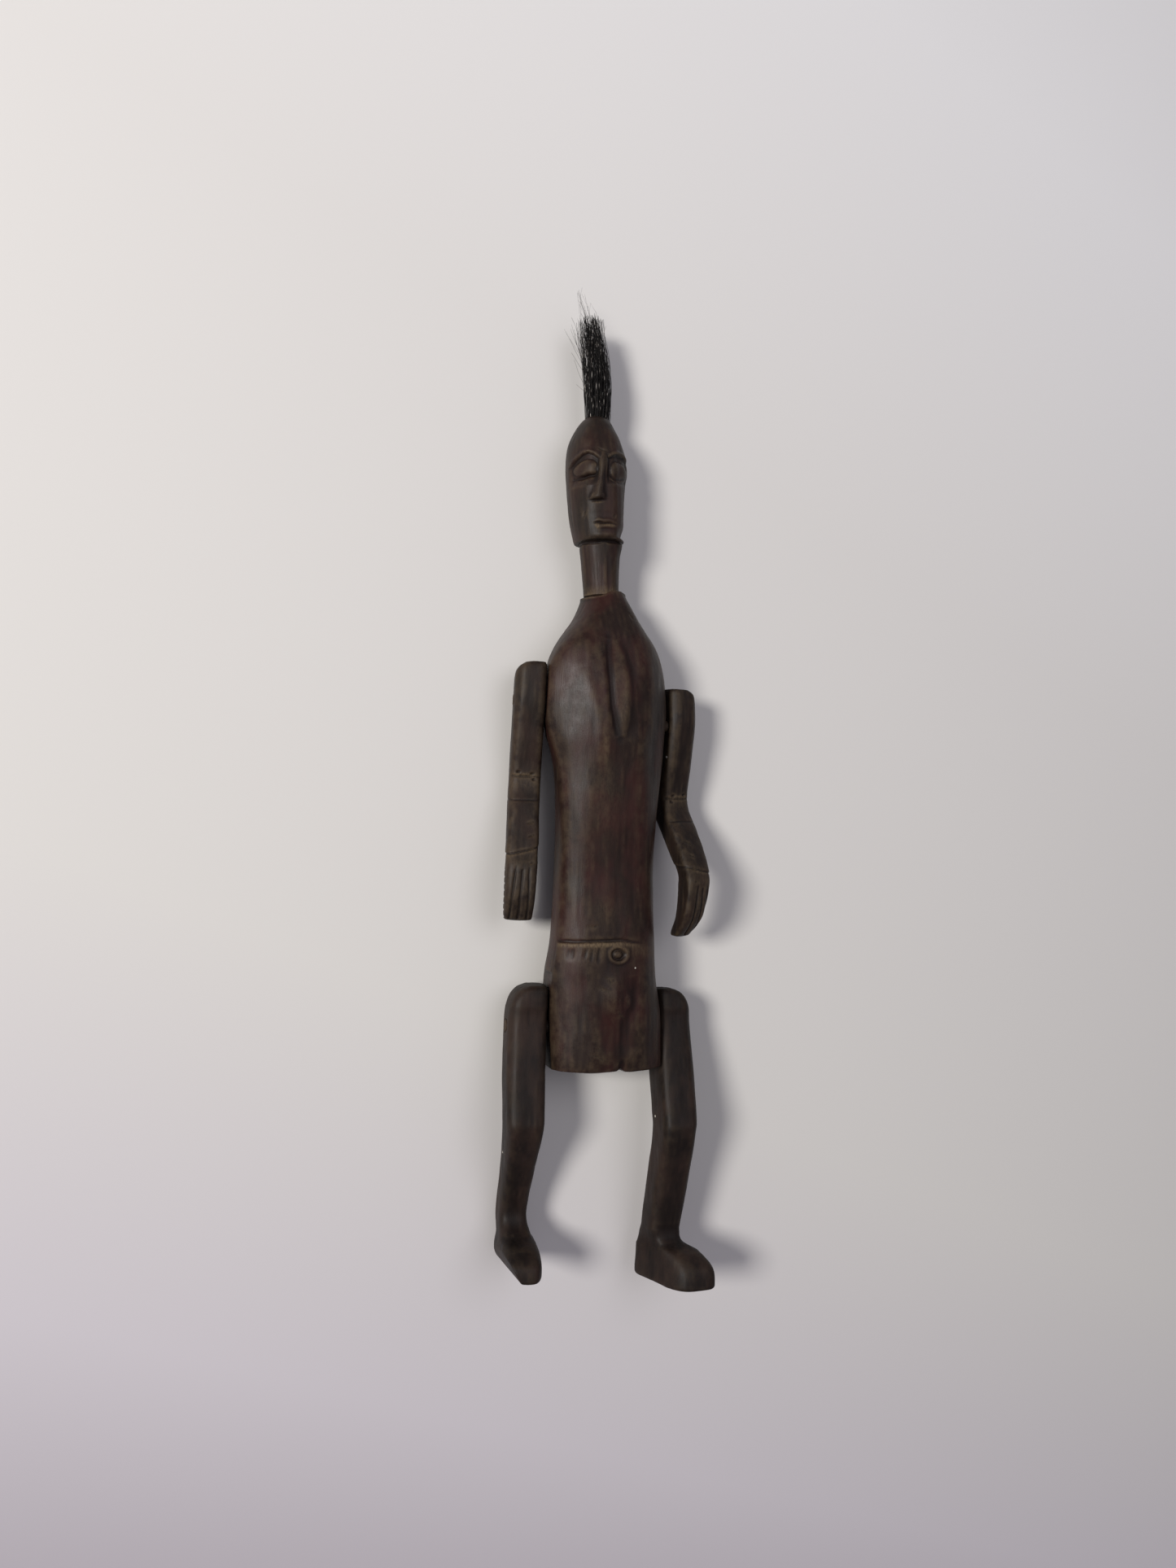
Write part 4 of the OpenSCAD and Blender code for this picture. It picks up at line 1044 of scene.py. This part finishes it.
torso_piece()
head_piece()
arm_piece("right_arm", -1)
arm_piece("left_arm", 1)
leg_piece("right_leg", -1)
leg_piece("left_leg", 1)
peg_piece("right_shoulder", -1, ARM_RIGHT["gap"] + ARM_RIGHT["thick"], 0)
peg_piece("left_shoulder", 1, ARM_LEFT["gap"] + ARM_LEFT["thick"], 0)
peg_piece("right_hip", -1, SIDE_GAP + THIGH_T, LEG_RIGHT["swing"])
peg_piece("left_hip", 1, SIDE_GAP + THIGH_T, LEG_LEFT["swing"])


# ---- hair ----
def hair_material():
    material, tree, shader, coords = plain_material("coarse_hair")
    tone_and_glints = grain_noise(tree, coords, (1700, 240, 1700), 2, 0.5)
    # Near-black strands with a few pale specks along them: painted glints.
    shades = [(0.38, (0.002, 0.0017, 0.0018)), (0.60, (0.006, 0.0045, 0.0042)),
              (0.65, (0.07, 0.06, 0.052)), (0.70, (0.50, 0.46, 0.42))]
    tree.links.new(colour_ramp(tree, tone_and_glints, shades), shader.inputs["Base Color"])
    tree.links.new(maths(tree, "ADD", product(tree, tone_and_glints, 0.2), 0.3), shader.inputs["Roughness"])
    shader.inputs["Specular IOR Level"].default_value = 0.16
    return material


def random_value(tree, kind, low, high, seed):
    made = node(tree, "FunctionNodeRandomValue", data_type=kind)
    slots = {"FLOAT": (2, 3, 1), "FLOAT_VECTOR": (0, 1, 0)}[kind]
    made.inputs[slots[0]].default_value = low
    made.inputs[slots[1]].default_value = high
    tree.links.new(seed, made.inputs["Seed"])
    return made.outputs[slots[2]]


def vector_maths(tree, operation, a, b):
    """A vector sum or difference, or a vector scaled by a number."""
    made = node(tree, "ShaderNodeVectorMath", operation=operation)
    tree.links.new(a, made.inputs[0])
    other = made.inputs["Scale"] if operation == "SCALE" else made.inputs[1]
    if isinstance(b, tuple):
        other.default_value = b
    else:
        tree.links.new(b, other)
    return made.outputs[0]


def point_of(tree, **axes):
    made = node(tree, "ShaderNodeCombineXYZ")
    for axis, value in axes.items():
        if isinstance(value, float):
            made.inputs[axis].default_value = value
        else:
            tree.links.new(value, made.inputs[axis])
    return made.outputs[0]


def keep_vector(tree, geometry, name, value):
    """Stores a vector on each point."""
    made = node(tree, "GeometryNodeStoreNamedAttribute", data_type="FLOAT_VECTOR", domain="POINT")
    made.inputs["Name"].default_value = name
    tree.links.new(geometry, made.inputs["Geometry"])
    tree.links.new(value, made.inputs["Value"])
    return made.outputs[0]


def kept_vector(tree, name):
    made = node(tree, "GeometryNodeInputNamedAttribute", data_type="FLOAT_VECTOR")
    made.inputs["Name"].default_value = name
    return made.outputs[0]


def hair_inputs(tree):
    face = tree.interface
    face.new_socket("Geometry", in_out="OUTPUT", socket_type="NodeSocketGeometry")
    for label, kind in (("Strands", "Int"), ("Root Radius", "Float"), ("Length", "Float"),
                        ("Length Spread", "Float"), ("Fan", "Float"), ("Sway", "Float"),
                        ("Thickness", "Float"), ("Seed", "Int"), ("Bend", "Vector"),
                        ("Bow", "Vector"), ("Material", "Material")):
        face.new_socket(label, in_out="INPUT", socket_type="NodeSocket" + kind)
    return node(tree, "NodeGroupInput").outputs


def hair_roots(tree, given, draw):
    """Points spread over a disc, each with its root and a random vector of its own stored on it."""
    roots = node(tree, "GeometryNodePoints")
    tree.links.new(given["Strands"], roots.inputs["Count"])
    angle = random_value(tree, "FLOAT", 0.0, 2 * math.pi, draw(1))
    spread = maths(tree, "SQRT", random_value(tree, "FLOAT", 0.0, 1.0, draw(2)))
    radius = product(tree, spread, given["Root Radius"])
    place = point_of(tree, X=product(tree, maths(tree, "COSINE", angle), radius),
                     Y=product(tree, maths(tree, "SINE", angle), radius))
    tree.links.new(place, roots.inputs["Position"])
    rooted = keep_vector(tree, roots.outputs[0], "root", place)
    lot = random_value(tree, "FLOAT_VECTOR", (-1, -1, 0), (1, 1, 1), draw(5))
    return keep_vector(tree, rooted, "lot", lot)


def hair_lines(tree, given, draw, roots):
    """A straight strand on each root, most of them near full length."""
    line = node(tree, "GeometryNodeCurvePrimitiveLine")
    tree.links.new(point_of(tree, Z=given["Length"]), line.inputs["End"])
    finer = node(tree, "GeometryNodeResampleCurve")
    finer.inputs["Count"].default_value = 15
    tree.links.new(line.outputs[0], finer.inputs["Curve"])
    chance = random_value(tree, "FLOAT", 0.0, 1.0, draw(9))
    loss = product(tree, maths(tree, "POWER", chance, 2.0), given["Length Spread"])
    stand = node(tree, "GeometryNodeInstanceOnPoints")
    tree.links.new(roots, stand.inputs["Points"])
    tree.links.new(finer.outputs[0], stand.inputs["Instance"])
    tree.links.new(point_of(tree, X=1.0, Y=1.0, Z=maths(tree, "SUBTRACT", 1.0, loss)), stand.inputs["Scale"])
    real = node(tree, "GeometryNodeRealizeInstances")
    tree.links.new(stand.outputs[0], real.inputs[0])
    return real.outputs[0]


def hair_lean(tree, given, along):
    """How far a strand's points move aside: bend, bow, fan, a fuller middle and sway."""
    arch = maths(tree, "SINE", product(tree, along, math.pi))
    flat = node(tree, "ShaderNodeSeparateXYZ")
    tree.links.new(kept_vector(tree, "lot"), flat.inputs[0])
    sideways = point_of(tree, X=flat.outputs[0], Y=flat.outputs[1])
    wave = node(tree, "ShaderNodeTexNoise", noise_dimensions="4D")
    wave.inputs["Scale"].default_value = 1.0
    wave.inputs["Detail"].default_value = 1.0
    tree.links.new(point_of(tree, Z=product(tree, along, 3.2)), wave.inputs["Vector"])
    tree.links.new(product(tree, flat.outputs[0], 40.0), wave.inputs["W"])
    centred = vector_maths(tree, "SUBTRACT", wave.outputs["Color"], (0.5, 0.5, 0.5))
    bend = vector_maths(tree, "SCALE", given["Bend"], maths(tree, "POWER", along, 1.6))
    bow = vector_maths(tree, "SCALE", given["Bow"], arch)
    spread = product(tree, maths(tree, "POWER", along, 2.4), given["Fan"])
    fan = vector_maths(tree, "SCALE", sideways, spread)
    belly = vector_maths(tree, "SCALE", kept_vector(tree, "root"), product(tree, arch, 0.28))
    sway = vector_maths(tree, "SCALE", centred, product(tree, along, given["Sway"]))
    leaning = vector_maths(tree, "ADD", bend, vector_maths(tree, "ADD", bow, fan))
    return vector_maths(tree, "ADD", leaning, vector_maths(tree, "ADD", belly, sway))


def hair_tubes(tree, given, along, strands):
    """A thin tapering tube round each strand."""
    taper = maths(tree, "SUBTRACT", 1.0, product(tree, along, 0.55))
    thick = node(tree, "GeometryNodeSetCurveRadius")
    tree.links.new(strands, thick.inputs["Curve"])
    tree.links.new(taper, thick.inputs["Radius"])
    ring = node(tree, "GeometryNodeCurvePrimitiveCircle")
    ring.inputs["Resolution"].default_value = 4
    tree.links.new(given["Thickness"], ring.inputs["Radius"])
    tube = node(tree, "GeometryNodeCurveToMesh")
    tube.inputs["Fill Caps"].default_value = True
    tree.links.new(thick.outputs[0], tube.inputs["Curve"])
    tree.links.new(ring.outputs[0], tube.inputs["Profile Curve"])
    if "Scale" in tube.inputs:
        tree.links.new(taper, tube.inputs["Scale"])
    solid = node(tree, "GeometryNodeRealizeInstances")
    tree.links.new(tube.outputs[0], solid.inputs[0])
    coat = node(tree, "GeometryNodeSetMaterial")
    tree.links.new(solid.outputs[0], coat.inputs["Geometry"])
    tree.links.new(given["Material"], coat.inputs["Material"])
    return coat.outputs[0]


def hair_tree():
    """A tuft: strands start on a disc, rise along z, spread, sway and thin out. Every size is an input."""
    tree = bpy.data.node_groups.new("hair_tuft_tree", "GeometryNodeTree")
    given = hair_inputs(tree)

    def draw(number):
        return maths(tree, "ADD", given["Seed"], float(number))

    lines = hair_lines(tree, given, draw, hair_roots(tree, given, draw))
    along = node(tree, "GeometryNodeSplineParameter").outputs["Factor"]
    moved = node(tree, "GeometryNodeSetPosition")
    tree.links.new(lines, moved.inputs["Geometry"])
    tree.links.new(hair_lean(tree, given, along), moved.inputs["Offset"])
    tubes = hair_tubes(tree, given, along, moved.outputs[0])
    tree.links.new(tubes, node(tree, "NodeGroupOutput").inputs[0])
    return tree


def grown(tree, settings):
    """The plain mesh that the tree gives with these inputs."""
    holder = bpy.data.objects.new("grower", bpy.data.meshes.new("grower"))
    bpy.context.scene.collection.objects.link(holder)
    modifier = holder.modifiers.new("grow", "NODES")
    modifier.node_group = tree
    sockets = {item.name: item.identifier for item in tree.interface.items_tree if item.in_out == "INPUT"}
    for label, value in settings.items():
        modifier[sockets[label]] = value
    bpy.context.view_layer.update()
    graph = bpy.context.evaluated_depsgraph_get()
    whole = holder.evaluated_get(graph)
    mesh = bpy.data.meshes.new_from_object(whole, preserve_all_data_layers=True, depsgraph=graph)
    holder.modifiers.remove(modifier)
    bpy.data.objects.remove(holder)
    return mesh


# Each layer's sizes are in metres, but for its length, which is in millimetres out of the hole.
HAIR_LAYERS = (
    {"strands": 300, "root": 0.0043, "length": HAIR_LEN, "spread": 0.22, "fan": 0.0016, "sway": 0.0042,
     "thick": 0.00013, "seed": 30, "bend": -0.0006, "bow": 0.0017},
    {"strands": 46, "root": 0.0042, "length": HAIR_LEN - 3, "spread": 0.55, "fan": 0.0075, "sway": 0.006,
     "thick": 0.00009, "seed": 80, "bend": -0.0028, "bow": 0.0012},
    {"strands": 26, "root": 0.0030, "length": HAIR_LEN + 11, "spread": 0.22, "fan": 0.0045, "sway": 0.012,
     "thick": 0.00006, "seed": 150, "bend": -0.0035, "bow": 0.001})


def hair_settings(layer, material):
    return {"Strands": layer["strands"], "Root Radius": layer["root"],
            "Length": (layer["length"] + HAIR_SUNK) * MM, "Length Spread": layer["spread"],
            "Fan": layer["fan"], "Sway": layer["sway"], "Thickness": layer["thick"],
            "Seed": layer["seed"], "Bend": (layer["bend"], -0.0005, 0), "Bow": (layer["bow"], 0, 0),
            "Material": material}


def hair_piece():
    tree = hair_tree()
    material = hair_material()
    crown = neck_place(HEAD_TURN) @ Matrix.Translation((0, CROWN_Y, HEAD_Z - 1))
    # the tree grows along z in metres, and the crown's y is up
    base = crown @ Matrix.Scale(1 / MM, 4) @ Matrix.Rotation(math.radians(-90), 4, "X")
    points, faces = [], []
    for layer in HAIR_LAYERS:
        mesh = grown(tree, hair_settings(layer, material))
        mesh.transform(base @ Matrix.Translation((0, 0, -HAIR_SUNK * MM)))
        start = len(points)
        points += [tuple(v.co) for v in mesh.vertices]
        faces += [[start + i for i in p.vertices] for p in mesh.polygons]
    joined = bpy.data.meshes.new("hair_strands")
    joined.from_pydata(points, [], faces)
    joined.polygons.foreach_set("use_smooth", [True] * len(joined.polygons))
    joined.materials.append(material)
    piece = bpy.data.objects.new("hair_strands", joined)
    bpy.context.scene.collection.objects.link(piece)
    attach(piece, "head_unit")
    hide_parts("hair_tuft")


hair_piece()
wedge = frame["nodes"]["hair_wedge"]
wedge.material_slots[0].material = peg_wood


# ---- floor, light and camera ----
def floor_material():
    material, tree, shader, coords = plain_material("pale_table")
    split = node(tree, "ShaderNodeSeparateXYZ")
    tree.links.new(coords, split.inputs[0])
    across, along = split.outputs[0], split.outputs[1]
    # Painted shade and shadow: the floor darkens from the head end towards the corner beyond the feet on the
    # figure's right.
    slope = maths(tree, "SUBTRACT", product(tree, across, -0.5), product(tree, along, 1.1))
    shades = [(0.0, (0.84, 0.835, 0.83)), (0.3, (0.74, 0.725, 0.70)), (0.62, (0.70, 0.685, 0.655)),
              (0.8, (0.60, 0.57, 0.60)), (1.0, (0.31, 0.28, 0.32))]
    painted_shadow = maths(tree, "ADD", slope, 0.5, True)
    tree.links.new(colour_ramp(tree, painted_shadow, shades), shader.inputs["Base Color"])
    shader.inputs["Roughness"].default_value = 0.75
    shader.inputs["Specular IOR Level"].default_value = 0.2
    return material


def floor_piece():
    mesh = bpy.data.meshes.new("table_top")
    half = 3.0
    low = -0.0002
    corners = [(-half, -half, low), (half, -half, low), (half, half, low), (-half, half, low)]
    mesh.from_pydata(corners, [], [(0, 1, 2, 3)])
    mesh.materials.append(floor_material())
    table = bpy.data.objects.new("table_top", mesh)
    bpy.context.scene.collection.objects.link(table)


def area_light(name, place, target, size, power, colour):
    light = bpy.data.lights.new(name, "AREA")
    light.shape = "DISK"
    light.size = size
    light.energy = power
    light.color = colour
    lamp = bpy.data.objects.new(name, light)
    lamp.location = place
    lamp.rotation_euler = (Vector(target) - Vector(place)).to_track_quat("-Z", "Y").to_euler()
    bpy.context.scene.collection.objects.link(lamp)


def studio():
    area_light("window", (-1.3, 0.25, 1.15), (0, 0.0, 0), 0.4, 26.0, (1.0, 0.97, 0.93))
    area_light("ceiling", (0.3, 0.5, 1.7), (0, 0.1, 0), 1.4, 7.0, (0.96, 0.95, 1.0))
    world = bpy.data.worlds.new("room")
    world.use_nodes = True
    world.node_tree.nodes["Background"].inputs["Color"].default_value = (0.80, 0.77, 0.90, 1)
    world.node_tree.nodes["Background"].inputs["Strength"].default_value = 0.22
    bpy.context.scene.world = world
    bpy.context.scene.view_settings.view_transform = "Standard"


def camera():
    """Above the figure and off to its right side."""
    roll = math.radians(24)
    distance, across, along = 0.478, -0.001, (115.7 + SEAT_Y) * MM
    middle = Matrix.Translation((SEAT_X * MM, 0, 0))
    right = Vector((math.cos(roll), 0, math.sin(roll)))
    up = Vector((0, 1, 0))
    back = Vector((-math.sin(roll), 0, math.cos(roll)))
    data = bpy.data.cameras.new("camera")
    data.lens = 26.0
    data.sensor_fit = "VERTICAL"
    data.sensor_height = 36.0
    data.clip_start = 0.01
    eye = bpy.data.objects.new("camera", data)
    eye.matrix_world = middle @ Matrix.Translation(right * across + up * along + back * distance) \
        @ Matrix((right, up, back)).transposed().to_4x4()
    bpy.context.scene.collection.objects.link(eye)
    bpy.context.scene.camera = eye


floor_piece()
studio()
camera()
